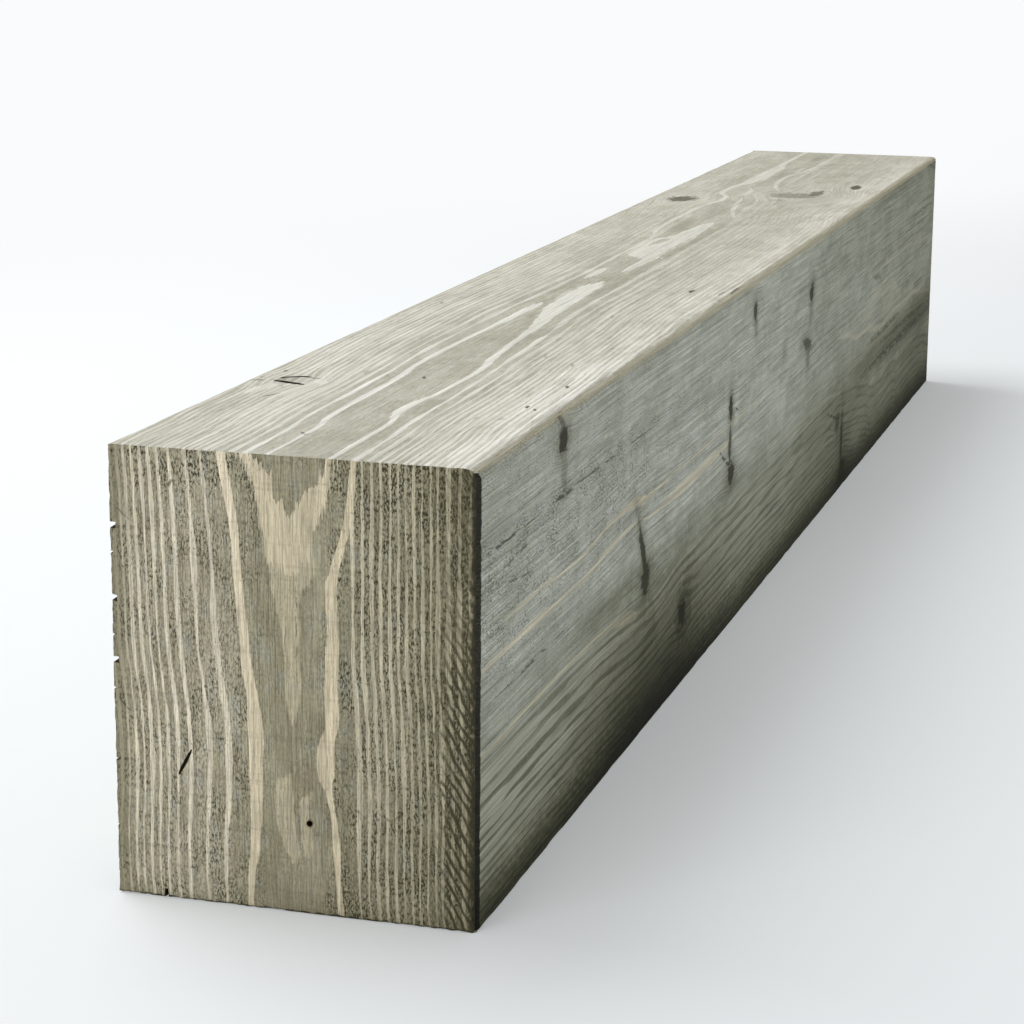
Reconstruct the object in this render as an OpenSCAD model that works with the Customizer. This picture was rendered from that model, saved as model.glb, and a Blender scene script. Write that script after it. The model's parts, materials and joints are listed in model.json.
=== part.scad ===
// Squared beam of treated softwood, sawn from one log and lying on its underside.
// Origin: the middle of the underside. +Y runs along the beam to its far end, +X to its right side, +Z up.

/* [Beam] */
// Width across the beam
beam_w = 180; // [100:1:300]
// Height of the beam
beam_h = 220; // [120:1:360]
// Length from end to end
beam_l = 1500; // [600:10:6000]

/* [Long arrises] */
// Rounding of the top right arris, worn by handling
top_right_r = 6; // [1:0.5:12]
// Rounding of the top left arris
top_left_r = 2; // [0.5:0.5:12]
// Rounding of the bottom left arris
bottom_left_r = 2; // [0.5:0.5:12]
// Rounding of the bottom right arris
bottom_right_r = 1; // [0.5:0.5:12]

/* [End arrises] */
// Rounding of the upright right arris of the near end
near_right_r = 4; // [0.5:0.5:12]
// Rounding of the other upright end arrises
upright_r = 1.5; // [0.5:0.5:6]
// Rounding of the level end arrises
level_r = 1; // [0.5:0.5:4]

/* [Splinters at the near left arris] */
// Depth of a splinter into the width
splinter_depth = 3.2; // [1:0.2:8]
// Run of a splinter along the grain
splinter_run = 12; // [4:1:40]
// Height of a splinter
splinter_h = 3.4; // [1:0.2:8]
// Distances of the splinters below the top
splinter_drops = [39, 74, 104]; // [10:1:110]

/* [Split at the near bottom arris] */
// Width of the split where it opens
split_w = 1.8; // [0.5:0.1:5]
// Height of the split
split_h = 6; // [2:0.5:15]
// Run of the split along the grain
split_run = 10; // [3:1:40]
// Distance of the split from the left side
split_from_left = 25; // [10:1:80]

/* [Gouge in the near end] */
// Length of the gouge
gouge_length = 15; // [5:0.5:40]
// Width of the gouge
gouge_w = 2.4; // [0.5:0.1:6]
// Depth of the gouge
gouge_depth = 2; // [0.5:0.1:6]
// Lean of the gouge from upright, to the right
gouge_lean = 28; // [0:1:90]
// Distance of the gouge from the left side
gouge_from_left = 36; // [15:1:80]
// Height of the gouge above the underside
gouge_up = 69; // [20:1:100]

/* [Pin knot in the near end] */
// Diameter of the hole left by the pin knot
pin_knot_d = 3; // [1:0.1:8]
// Depth of the hole left by the pin knot
pin_knot_depth = 6; // [1:0.5:30]
// Distance of the pin knot to the right of the middle
pin_knot_right = 8; // [0:1:40]
// Height of the pin knot above the underside
pin_knot_up = 45; // [10:1:100]

/* [Star shake of the knot on top] */
// Length of each check of the star
star_check_length = 26; // [8:1:50]
// Width of each check of the star
star_check_w = 2; // [0.5:0.1:5]
// Depth of each check of the star
star_check_depth = 5; // [1:0.5:15]
// Distance of the knot from the near end
star_from_end = 176; // [60:1:500]
// Distance of the knot from the left side
star_from_left = 21; // [15:1:80]
// Turns of the checks from the beam's length
star_turns = [-8, 34, 100]; // [-90:1:180]

/* [Hidden] */
$fn = 64;
half_w = beam_w / 2;
half_l = beam_l / 2;
overshoot = 1;
timber_colour = [0.62, 0.60, 0.51];

// Waste of one rounded corner: the corner at the origin, the stock on the positive side of both axes
module corner_waste(r) {
    difference() {
        translate([-overshoot, -overshoot])
            square(r + overshoot);
        translate([r, r])
            circle(r);
    }
}

// Rectangle with a radius for each corner, anticlockwise from the lowest one
module eased_rectangle(low, high, radii) {
    difference() {
        translate(low)
            square(high - low);
        translate(low)
            corner_waste(radii[0]);
        translate([high[0], low[1]])
            mirror([1, 0])
                corner_waste(radii[1]);
        translate(high)
            rotate(180)
                corner_waste(radii[2]);
        translate([low[0], high[1]])
            mirror([0, 1])
                corner_waste(radii[3]);
    }
}

// The stick as sawn: section, plan and side elevation, each with its own eased corners
module eased_stick() {
    intersection() {
        rotate([90, 0, 0])
            linear_extrude(beam_l, center = true)
                eased_rectangle([-half_w, 0], [half_w, beam_h],
                                [bottom_left_r, bottom_right_r, top_right_r, top_left_r]);
        linear_extrude(beam_h)
            eased_rectangle([-half_w, -half_l], [half_w, half_l],
                            [upright_r, near_right_r, upright_r, upright_r]);
        rotate([90, 0, 90])
            linear_extrude(beam_w, center = true)
                eased_rectangle([-half_l, 0], [half_l, beam_h],
                                [level_r, level_r, level_r, level_r]);
    }
}

// A splinter torn out along the grain: deepest at the end, running out on the left side
module splinter() {
    linear_extrude(splinter_h, center = true)
        polygon([[-overshoot, -overshoot],
                 [splinter_depth, -overshoot],
                 [splinter_depth, 0],
                 [0, splinter_run],
                 [-overshoot, splinter_run]]);
}

// A split that opens downwards and closes upwards
module split() {
    rotate([90, 0, 0])
        linear_extrude(2 * split_run, center = true)
            polygon([[-split_w / 2, -overshoot],
                     [split_w / 2, -overshoot],
                     [split_w / 2, 0],
                     [0, split_h],
                     [-split_w / 2, 0]]);
}

// A boat-shaped cut into the face z = 0, lying along X: the rim of a double cone that dips below the face
module boat_cut(length, width, depth) {
    rim_r = (pow(length / 2, 2) + pow(depth, 2)) / (2 * depth);
    half_h = width / 2 * rim_r / depth;
    translate([0, 0, rim_r - depth])
        rotate([90, 0, 0])
            for (side = [0, 1])
                mirror([0, 0, side])
                    cylinder(h = half_h, r1 = rim_r, r2 = 0);
}

// Puts a cut that is made into the face z = 0 on the near end, which faces -Y
module on_near_end(x, z) {
    translate([x, -half_l, z])
        rotate([90, 0, 0])
            children();
}

module splinters() {
    for (drop = splinter_drops)
        translate([-half_w, -half_l, beam_h - drop])
            splinter();
}

module gouge() {
    on_near_end(gouge_from_left - half_w, gouge_up)
        rotate(90 - gouge_lean)
            boat_cut(gouge_length, gouge_w, gouge_depth);
}

module pin_knot_hole() {
    on_near_end(pin_knot_right, pin_knot_up)
        translate([0, 0, -pin_knot_depth])
            cylinder(h = pin_knot_depth + overshoot, d = pin_knot_d);
}

// Checks that cross in the heart of the knot, each pointing its own way
module star_shake() {
    translate([star_from_left - half_w, star_from_end - half_l, beam_h])
        for (turn = star_turns)
            rotate(90 + turn)
                boat_cut(star_check_length, star_check_w, star_check_depth);
}

module timber_beam() {
    color(timber_colour)
        difference() {
            eased_stick();
            splinters();
            translate([split_from_left - half_w, -half_l, 0])
                split();
            gouge();
            pin_knot_hole();
            star_shake();
        }
}

timber_beam();
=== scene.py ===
"""Looks of a squared timber beam: its weathered mesh, the grain of each face and the studio it lies in."""

import json
import logging
import math
from dataclasses import dataclass, replace
from enum import Enum
from functools import partial
from typing import Callable, Optional, Union

import bpy
import numpy as np
from mathutils import Matrix, Vector

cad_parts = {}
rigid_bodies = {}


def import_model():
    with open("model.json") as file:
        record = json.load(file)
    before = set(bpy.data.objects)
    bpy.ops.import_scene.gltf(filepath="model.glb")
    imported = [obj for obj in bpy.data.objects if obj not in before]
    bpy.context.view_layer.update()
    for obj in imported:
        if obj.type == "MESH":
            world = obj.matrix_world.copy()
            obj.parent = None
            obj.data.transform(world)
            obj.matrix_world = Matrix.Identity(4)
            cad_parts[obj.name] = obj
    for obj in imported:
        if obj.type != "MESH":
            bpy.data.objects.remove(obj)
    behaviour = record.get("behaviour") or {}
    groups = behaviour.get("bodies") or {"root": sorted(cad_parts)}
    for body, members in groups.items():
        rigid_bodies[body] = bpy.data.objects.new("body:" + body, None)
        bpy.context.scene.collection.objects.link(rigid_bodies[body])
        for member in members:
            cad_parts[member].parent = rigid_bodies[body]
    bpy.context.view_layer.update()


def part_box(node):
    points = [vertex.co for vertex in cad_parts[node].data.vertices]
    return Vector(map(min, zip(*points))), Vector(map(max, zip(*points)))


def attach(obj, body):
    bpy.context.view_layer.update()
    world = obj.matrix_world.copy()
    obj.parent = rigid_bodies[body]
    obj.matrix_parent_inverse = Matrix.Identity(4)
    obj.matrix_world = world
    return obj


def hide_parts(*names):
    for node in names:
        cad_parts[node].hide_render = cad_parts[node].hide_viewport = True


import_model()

LOG = logging.getLogger("timber_beam")
NODE = "timber_beam"
BODY = "root"
MM = 0.001
WOOD_SPECULAR = 0.2

Colour = tuple[float, float, float]
Size = tuple[float, float]
Points = tuple[Size, ...]
Operand = Union["Wire", float]
ColourOperand = Union["Wire", Colour]


def tint(red: int, green: int, blue: int) -> Colour:
    """Turns a display colour into the linear colour that a shader takes.

    Args:
        red: Red of the display colour, up to 255.
        green: Green of the display colour, up to 255.
        blue: Blue of the display colour, up to 255.

    Returns:
        The linear red, green and blue.
    """
    shares = [value / 255 for value in (red, green, blue)]
    linear = [s / 12.92 if s <= 0.04045 else ((s + 0.055) / 1.055) ** 2.4 for s in shares]
    return linear[0], linear[1], linear[2]


class Wire:
    """An output of a node that takes part in sums, in a shader tree or in a geometry tree."""

    def __init__(self, sheet: "NodeSheet", socket: bpy.types.NodeSocket) -> None:
        """Keeps the socket and the sheet that it belongs to.

        Args:
            sheet: The sheet that writes further nodes.
            socket: The output socket.
        """
        self.sheet = sheet
        self.socket = socket

    def __add__(self, other: Operand) -> "Wire":
        """Returns the sum with other."""
        return self.sheet.maths("ADD", self, other)

    def __sub__(self, other: Operand) -> "Wire":
        """Returns the difference from other."""
        return self.sheet.maths("SUBTRACT", self, other)

    def __rsub__(self, other: float) -> "Wire":
        """Returns other less this wire."""
        return self.sheet.maths("SUBTRACT", other, self)

    def __mul__(self, other: Operand) -> "Wire":
        """Returns the product with other."""
        return self.sheet.maths("MULTIPLY", self, other)

    __radd__ = __add__
    __rmul__ = __mul__


class NodeSheet:
    """Writes nodes into one tree."""

    SEED_STEP = 7.31
    SEED_SKEW = 3.17
    YELLOWING = 1.22
    LEAST_REACH = 1e-6
    MIXED_COLOURS = (6, 7)
    MIXED_RESULT = 2

    def __init__(self, tree: bpy.types.NodeTree) -> None:
        """Keeps the tree.

        Args:
            tree: The shader tree or geometry tree to write into.
        """
        self.tree = tree

    def node(self, kind: str, **settings: object) -> bpy.types.Node:
        """Adds a node.

        Args:
            kind: The node's type name.
            settings: Properties to set on it.

        Returns:
            The new node.
        """
        made = self.tree.nodes.new(kind)
        for name, value in settings.items():
            setattr(made, name, value)
        return made

    def feed(self, socket: bpy.types.NodeSocket, value: object) -> None:
        """Links a wire to an input, or sets the input to a constant.

        Args:
            socket: The input socket.
            value: A wire, or a plain value.
        """
        if isinstance(value, Wire):
            self.tree.links.new(value.socket, socket)
        else:
            socket.default_value = value

    def maths(self, operation: str, *operands: Operand) -> Wire:
        """Adds one sum.

        Args:
            operation: Name of the sum.
            operands: Wires or numbers, in order.

        Returns:
            The result.
        """
        made = self.node("ShaderNodeMath", operation=operation)
        for socket, operand in zip(made.inputs, operands):
            self.feed(socket, operand)
        return Wire(self, made.outputs[0])

    def root(self, value: Wire) -> Wire:
        """Returns the square root of a wire, with nought for what lies below nought."""
        return self.maths("SQRT", self.maths("MAXIMUM", value, 0.0))

    def vector(self, x: Operand, y: Operand, z: Operand) -> Wire:
        """Returns the vector of three operands."""
        made = self.node("ShaderNodeCombineXYZ")
        for socket, value in zip(made.inputs, (x, y, z)):
            self.feed(socket, value)
        return Wire(self, made.outputs[0])

    def vectors(self, operation: str, *operands: Union[Wire, Colour]) -> Wire:
        """Adds one sum of vectors.

        Args:
            operation: Name of the sum.
            operands: Wires or constant vectors, in order.

        Returns:
            The result, which is a number for a length.
        """
        made = self.node("ShaderNodeVectorMath", operation=operation)
        for socket, operand in zip(made.inputs, operands):
            self.feed(socket, operand)
        return Wire(self, made.outputs["Value" if operation == "LENGTH" else "Vector"])

    def parts(self, vector: Wire) -> tuple[Wire, Wire, Wire]:
        """Returns the three parts of a vector."""
        made = self.node("ShaderNodeSeparateXYZ")
        self.feed(made.inputs[0], vector)
        return Wire(self, made.outputs[0]), Wire(self, made.outputs[1]), Wire(self, made.outputs[2])

    def noise(self, across: Wire, along: Wire, size: Size, seed: float, detail: float, rough: float) -> Wire:
        """Adds noise over a face.

        Args:
            across: Distance across the grain in millimetres.
            along: Distance along the grain in millimetres.
            size: Size of the noise's grains across and along, in millimetres.
            seed: Number that tells this noise from another.
            detail: Number of finer layers.
            rough: Strength of each finer layer against the one before it.

        Returns:
            The noise, from nought to one and mostly near one half.
        """
        shift = self.SEED_STEP * seed
        skewed = self.SEED_SKEW * shift
        place = self.vector(across * (1 / size[0]) + shift, along * (1 / size[1]) + skewed, 0.0)
        made = self.node("ShaderNodeTexNoise", noise_dimensions="2D")
        self.feed(made.inputs["Vector"], place)
        made.inputs["Scale"].default_value = 1.0
        made.inputs["Detail"].default_value = detail
        made.inputs["Roughness"].default_value = rough
        return Wire(self, made.outputs[0])

    def dull(self, colour: Wire, factor: Wire) -> Wire:
        """Returns a colour made darker, and a little yellower with it, for the darker earlywood and for the
        painted shade.
        """
        yellowed = self.maths("POWER", factor, self.YELLOWING)
        return self.vectors("MULTIPLY", colour, self.vector(factor, factor, yellowed))

    def rise(self, value: Wire, start: Operand, end: Operand, height: float = 1.0) -> Wire:
        """Returns a smooth step that is nought at start and stands at its height at end."""
        made = self.node("ShaderNodeMapRange", interpolation_type="SMOOTHSTEP")
        made.inputs["To Max"].default_value = height
        self.feed(made.inputs["Value"], value)
        self.feed(made.inputs["From Min"], start)
        self.feed(made.inputs["From Max"], end)
        return Wire(self, made.outputs[0])

    def curve(self, value: Wire, points: Points, handle: str = "AUTO_CLAMPED") -> Wire:
        """Reads a value off a drawn curve.

        Args:
            value: The place on the curve.
            points: Places in rising order, each with the value there.
            handle: How the curve goes through its points.

        Returns:
            The value of the curve.
        """
        places = [point[0] for point in points]
        heights = [point[1] for point in points]
        span = places[-1] - places[0]
        low = min(heights)
        reach = max(max(heights) - low, self.LEAST_REACH)
        made = self.node("ShaderNodeFloatCurve")
        line = made.mapping.curves[0]
        while len(line.points) < len(points):
            line.points.new(0.5, 0.5)
        for drawn, place, height in zip(line.points, places, heights):
            drawn.location = ((place - places[0]) / span, (height - low) / reach)
            drawn.handle_type = handle
        made.mapping.update()
        self.feed(made.inputs["Value"], (value - places[0]) * (1 / span))
        return Wire(self, made.outputs[0]) * reach + low

    def blend_values(self, share: Operand, first: Operand, second: Operand) -> Wire:
        """Returns the number between two, with the second's share."""
        made = self.node("ShaderNodeMix", data_type="FLOAT")
        for socket, value in zip(made.inputs, (share, None, first, second)):
            if value is not None:
                self.feed(socket, value)
        return Wire(self, made.outputs[0])

    def blend(self, share: Operand, first: ColourOperand, second: ColourOperand) -> Wire:
        """Returns the colour between two, with the second's share."""
        made = self.node("ShaderNodeMix", data_type="RGBA")
        self.feed(made.inputs[0], share)
        for number, colour in zip(self.MIXED_COLOURS, (first, second)):
            self.feed(made.inputs[number], colour if isinstance(colour, Wire) else (*colour, 1.0))
        return Wire(self, made.outputs[self.MIXED_RESULT])

    def scale(self, vector: Wire, factor: Operand) -> Wire:
        """Returns a vector or colour times a number."""
        made = self.node("ShaderNodeVectorMath", operation="SCALE")
        self.feed(made.inputs[0], vector)
        self.feed(made.inputs["Scale"], factor)
        return Wire(self, made.outputs[0])


class Side(Enum):
    """The faces of the beam.

    The value holds the outward axis and its sign, the axis across the grain and the one along it.
    """

    TOP = (2, 1, 0, 1)
    RIGHT = (0, 1, 2, 1)
    LEFT = (0, -1, 2, 1)
    UNDERSIDE = (2, -1, 0, 1)
    NEAR_END = (1, -1, 0, 2)
    FAR_END = (1, 1, 0, 2)

    @property
    def outward(self) -> Vector:
        """The direction that the face looks in."""
        direction = Vector((0.0, 0.0, 0.0))
        direction[self.value[0]] = self.value[1]
        return direction

    def place(self, sheet: NodeSheet, position: Wire, near_end: float) -> tuple[Wire, Wire]:
        """Reads off where a point lies on this face.

        Args:
            sheet: The sheet to write into.
            position: The point, in metres.
            near_end: Where the near end lies on the long axis, in metres.

        Returns:
            The distance across the grain and the one along it, in millimetres. The long axis counts from the
            near end.
        """
        parts = sheet.parts(position)
        across = parts[self.value[2]] * (1 / MM)
        along = parts[self.value[3]] * (1 / MM)
        if self.value[3] == 1:
            along = along - near_end / MM
        return across, along


@dataclass(frozen=True)
class Knot:
    """A branch that a face cuts through.

    Attributes:
        across: Place across the grain in millimetres.
        along: Place along the grain in millimetres.
        half_across: Half its size across the grain.
        half_along: Half its size along the grain.
        turn: Its turn from the grain in degrees.
        push: How strongly the rings bend round it.
        dark: How dark it is.
    """

    across: float
    along: float
    half_across: float
    half_along: float
    turn: float = 0.0
    push: float = 0.6
    dark: float = 0.8

    def reach(self, sheet: NodeSheet, point: Wire) -> Wire:
        """Measures how far a point lies from the knot.

        Args:
            sheet: The sheet to write into.
            point: Distances across and along the grain.

        Returns:
            The distance, which is one at the rim of the knot.
        """
        off = sheet.vectors("SUBTRACT", point, (self.across, self.along, 0.0))
        if self.turn != 0:
            turned = sheet.node("ShaderNodeVectorRotate", rotation_type="Z_AXIS")
            sheet.feed(turned.inputs["Vector"], off)
            turned.inputs["Angle"].default_value = math.radians(-self.turn)
            off = Wire(sheet, turned.outputs[0])
        scaled = sheet.vectors("MULTIPLY", off, (1 / self.half_across, 1 / self.half_along, 0.0))
        return sheet.vectors("LENGTH", scaled)


@dataclass(frozen=True)
class Seam:
    """A line or patch of wood that keeps its own course along the grain.

    Attributes:
        middle: Places along the grain, each with the place across of its middle.
        half: Places along the grain, each with half its width. It shows where that is above nought.
        late: Strength of the latewood in it.
        warm: Share of the inner latewood's colour in it.
    """

    middle: Points
    half: Points
    late: float = 1.0
    warm: float = 1.0

    def mask(self, sheet: NodeSheet, across: Wire, along: Wire, torn: Wire, hair: Wire, soft: float) -> Wire:
        """Draws where the seam lies.

        Args:
            sheet: The sheet to write into.
            across: Distance across the grain.
            along: Distance along the grain.
            torn: Distance along the grain with torn borders.
            hair: Factor on its width that feathers its edges.
            soft: Softness of the seam's edges.

        Returns:
            One within the seam and nought beside it.
        """
        off = sheet.maths("ABSOLUTE", across - sheet.curve(along, self.middle))
        return sheet.rise(off - sheet.curve(torn, self.half) * hair, soft, -soft)


@dataclass(frozen=True)
class Hatch:
    """Slanting strokes of torn grain along one edge of a face.

    Attributes:
        start: Where across the face they begin.
        full: Where they are at full strength.
        pitch: Distance from stroke to stroke.
        lean: Their slant from the level, in degrees.
        top: Where along the face they are weak, and where they are at full strength.
        weak: Their strength where they are weak.
    """

    start: float
    full: float
    pitch: float
    lean: float
    top: Size = (170.0, 110.0)
    weak: float = 0.35

    BOW = 5.0
    STROKE_JAG = 2.0
    STROKE_RANGE = (-0.5, 1.0)
    BORDER_JAG = 16.0
    TOP_JAG = 60.0

    def mask(self, sheet: NodeSheet, across: Wire, along: Wire, bow: Wire, ragged: Wire) -> Wire:
        """Draws the strokes.

        Args:
            sheet: The sheet to write into.
            across: Distance across the grain.
            along: Distance along the grain.
            bow: Noise that bows the strokes.
            ragged: Raggedness of their borders, about nought.

        Returns:
            The strength of the strokes at the point.
        """
        lean = math.radians(self.lean)
        turned = across * math.sin(lean) + along * math.cos(lean)
        wave = sheet.maths("SINE", (turned + bow * self.BOW) * (2 * math.pi / self.pitch))
        stroke = sheet.rise(wave + ragged * self.STROKE_JAG, *self.STROKE_RANGE)
        stroke = stroke * sheet.rise(across + ragged * self.BORDER_JAG, self.start, self.full)
        return stroke * (sheet.rise(along + ragged * self.TOP_JAG, *self.top) * (1 - self.weak) + self.weak)


@dataclass(frozen=True)
class Edge:
    """A strip along one edge of a face: wear and dirt on some edges, painted shade and painted light on
    others.

    Attributes:
        place: Where across the face the edge lies.
        width: How far the strip reaches in.
        soft: Over what distance it dies out.
        colour: Its colour.
        strength: How much of the wood it covers.
        jag: How far its inner border wanders.
        at_end: Whether the place is one along the grain.
    """

    place: float
    width: float
    soft: float
    colour: Colour
    strength: float
    jag: float = 1.0
    at_end: bool = False


@dataclass
class Course:
    """How the rings run at a point of a face.

    Attributes:
        bent: Distance across the grain as the rings see it, in millimetres.
        rough: Noise that makes borders ragged.
        patch: Noise that tells broad patches apart.
        late: Strength of the latewood.
        inner: Share of the inner latewood's colour.
        dim: Factor on the brightness of the earlywood.
        knot: Strength of the knots.
        halo: Strength of the wood round the knots.
    """

    bent: Wire
    rough: Wire
    patch: Wire
    late: Wire
    inner: Wire
    dim: Wire
    knot: Operand
    halo: Operand


@dataclass
class Grain:
    """What a figure draws at a point of its face, over the course of the rings.

    Attributes:
        course: The course of the rings.
        fibre: Noise of the fibres.
        streak: Noise of the long streaks.
        speck: Strength of the dark specks.
        haze: Strength of the cool bloom.
        shake: Strength of the cracks.
        stain: Strength of the stains.
        stroke: Strength of the slanting strokes, if any.
        bands: Strength of the saw's bands, if any.
    """

    course: Course
    fibre: Wire
    streak: Wire
    speck: Wire
    haze: Wire
    shake: Operand
    stain: Operand
    stroke: Optional[Wire]
    bands: Optional[Wire]


class Layer(Enum):
    """The noises that a figure is drawn with.

    The value holds a step of the seed, the grains' size, the number of finer layers and their strength, with
    None for what each figure sets for itself.
    """

    ROUGH = (1, (4.0, 8.0), 3.0, 0.65)
    SWAY = (2, (70.0, 230.0), 2.0, 0.5)
    RIPPLE = (3, (14.0, 60.0), 2.0, 0.5)
    FRAY = (4, (1.6, 11.0), 2.0, 0.5)
    VARY = (5, (1.0, 60.0), 1.0, 0.5)
    DRIFT = (6, (1.0, 150.0), 2.0, 0.5)
    FIBRE = (7, None, 2.0, 0.6)
    NAP = (7, None, 0.0, 0.5)
    STREAK = (8, None, 2.0, 0.5)
    PATCH = (9, (26.0, 60.0), 2.0, 0.6)
    CLUMP = (10, (11.0, 19.0), 2.0, 0.6)
    SPECK = (11, None, None, 0.68)
    PITS = (11, None, 1.0, 0.7)
    BANDS = (12, (120.0, 4.0), 2.0, 0.7)
    TEAR = (13, (1.5, 70.0), 2.0, 0.5)
    HAIR = (14, (1.3, 26.0), 2.0, 0.6)
    DASH = (15, None, 2.0, 0.5)
    BOW = (16, (30.0, 18.0), 2.0, 0.5)
    BLOOM = (17, (6.0, 16.0), 2.0, 0.65)


@dataclass(frozen=True)
class Figure:
    """How the growth rings meet one face. All lengths are in millimetres.

    Attributes:
        heart: Places along the grain, each with the place across where the pith runs nearest.
        lift: Places along the grain, each with the square of the depth of the pith under the face.
        rings: Distances from the pith, each with the number of rings up to it.
        high_rings: Distances across, each with the number of rings up to it, if the rings on the higher side
            of the pith run straight.
        widths: Ring numbers, each with the width of the pale latewood there.
        spread: Places along the grain, each with a factor on those widths.
        inner_fade: Places along the grain, each with the strength of the innermost latewood there.
        outer_fade: Places along the grain, each with the strength of the outer latewood there.
        dims: Ring numbers, each with a factor on the brightness of the earlywood there.
        patchy: How strongly the latewood fades in and out along a ring.
        feather: How strongly the edges of the seams are feathered.
        vary: How strongly the width of the latewood changes along a ring.
        seams: Lines and patches with their own course, each laid over those before it.
        knots: The knots.
        shakes: Cracks and dark lines, stated as thin knots.
        blazes: Pale patches of latewood cut flat, stated as knots.
        stains: Broad soft stains, stated as knots. One that is less than nought dark is a lighter patch that
            lifts the painted shade there.
        dash: Length of the dashes that the cracks break up into.
        seed: Number that tells this face's noise from another's.
        sway: Slow wandering of the rings.
        ripple: Quick wandering of the rings.
        fray: Raggedness of the edges of the rings.
        jag: Raggedness of their tips along the grain.
        soft: Softness of their edges.
        proud: How far latewood stands proud.
        speck_size: Size of the dark specks across and along the grain.
        speck_level: Noise level above which the wood is speckled.
        speck_ramp: How gradually the specks set in above that level.
        speck_detail: Number of finer layers in the specks.
        fibre_size: Size of the fibres across and along the grain.
        streak_size: Size of the streaks across and along the grain.
        nap_depth: Depth of the furrows between the fibres.
        speck_fade: Places along the grain, each with the strength of the specks there.
        speck_belt: Places across the grain, each with the strength of the specks there.
        hatch: Slanting strokes, if any.
        saw_bands: Strength of the saw's level bands.
    """

    heart: Points
    lift: Points
    rings: Points
    widths: Points
    spread: Points
    inner_fade: Points
    outer_fade: Points
    dims: Points
    knots: tuple[Knot, ...]
    shakes: tuple[Knot, ...]
    seed: float
    blazes: tuple[Knot, ...] = ()
    stains: tuple[Knot, ...] = ()
    dash: float = 14.0
    seams: tuple[Seam, ...] = ()
    patchy: float = 0.4
    feather: float = 0.9
    vary: float = 0.5
    sway: float = 2.0
    ripple: float = 0.8
    fray: float = 0.5
    jag: float = 10.0
    soft: float = 0.35
    proud: float = 0.15
    speck_size: Size = (1.1, 2.2)
    speck_level: float = 0.52
    speck_ramp: float = 0.16
    speck_detail: float = 2.0
    fibre_size: Size = (0.6, 50.0)
    streak_size: Size = (1.7, 300.0)
    nap_depth: float = 0.2
    speck_fade: Points = ((0, 1.0), (1500, 1.0))
    speck_belt: Points = ((-90, 1.0), (220, 1.0))
    hatch: Optional[Hatch] = None
    saw_bands: float = 0.0
    high_rings: Optional[Points] = None

    SPOT_RIM = (1.12, 0.88)
    KNOT_RIM = (1.15, 0.65)
    HALO_RIM = (2.8, 0.7)
    CRACK_RIM = (1.2, 0.5)
    STAIN_RIM = (1.5, 0.1)
    KNOT_JAG = 1.4
    CRACK_JAG = 2.0
    STAIN_JAG = 0.4
    BLAZE_FRAY = 0.9
    BLAZE_JAG = 0.5
    PULL = -0.3
    RING_SKEW = 0.01
    VARY_STEP = 9.0
    VARY_RANGE = (0.28, 0.72)
    DRIFT_STEP = 5.0
    DRIFT_RANGE = (0.36, 0.58)
    INNER_RINGS = (2.0, 1.9)
    INNER_HOLD = 0.8
    DASH_WIDTH = 3.0
    DASH_RANGE = (0.34, 0.52)
    CLUMP_RANGE = (0.36, 0.66)
    CLUMP_SHARE = 0.6
    BLOOM_RANGE = (0.52, 0.68)
    BAND_SLOPE = 0.02
    BAND_RANGE = (0.56, 0.70)
    LATE_SPARED = 0.18
    PATCH_DEPTH = 0.3
    KNOT_DEPTH = 0.25
    PIT_RANGE = (0.5, 0.68)
    PIT_DEPTH = 0.14

    def layer(
        self,
        sheet: NodeSheet,
        layer: Layer,
        across: Wire,
        along: Wire,
        size: Optional[Size] = None,
        detail: Optional[float] = None,
    ) -> Wire:
        """Adds one of the figure's noises.

        Args:
            sheet: The sheet to write into.
            layer: Which noise.
            across: Distance across the grain.
            along: Distance along the grain.
            size: The grains' size, if it isn't the usual one.
            detail: The number of finer layers, if it isn't the usual one.

        Returns:
            The noise, from nought to one and mostly near one half.
        """
        step, usual_size, usual_detail, rough = layer.value
        fine = usual_detail if detail is None else detail
        return sheet.noise(across, along, size or usual_size, self.seed + step, fine, rough)

    @staticmethod
    def count(sheet: NodeSheet, radius: Wire, rings: Points) -> tuple[Wire, Wire]:
        """Counts the rings out to a distance from the pith.

        Args:
            sheet: The sheet to write into.
            radius: The distance from the pith.
            rings: Distances from the pith, each with the number of rings up to it.

        Returns:
            The ring number, and the distance from one ring to the next there.
        """
        steps = [((a[1] + b[1]) / 2, (b[0] - a[0]) / (b[1] - a[1])) for a, b in zip(rings, rings[1:])]
        spacings = ((rings[0][1], steps[0][1]), *steps, (rings[-1][1], steps[-1][1]))
        ring = sheet.curve(radius, rings, "VECTOR")
        return ring, sheet.curve(ring, spacings, "VECTOR")

    def spots(self, sheet: NodeSheet, spots: tuple[Knot, ...], point: Wire, rough: Wire) -> Operand:
        """Draws patches with ragged borders.

        Args:
            sheet: The sheet to write into.
            spots: The patches.
            point: Distances across and along the grain.
            rough: Raggedness of the borders, about nought.

        Returns:
            The strength of the strongest patch at the point.
        """
        found: Operand = 0.0
        for spot in spots:
            mask = sheet.rise(spot.reach(sheet, point) + rough, *self.SPOT_RIM, spot.dark)
            found = sheet.maths("MAXIMUM", mask, found)
        return found

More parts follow.
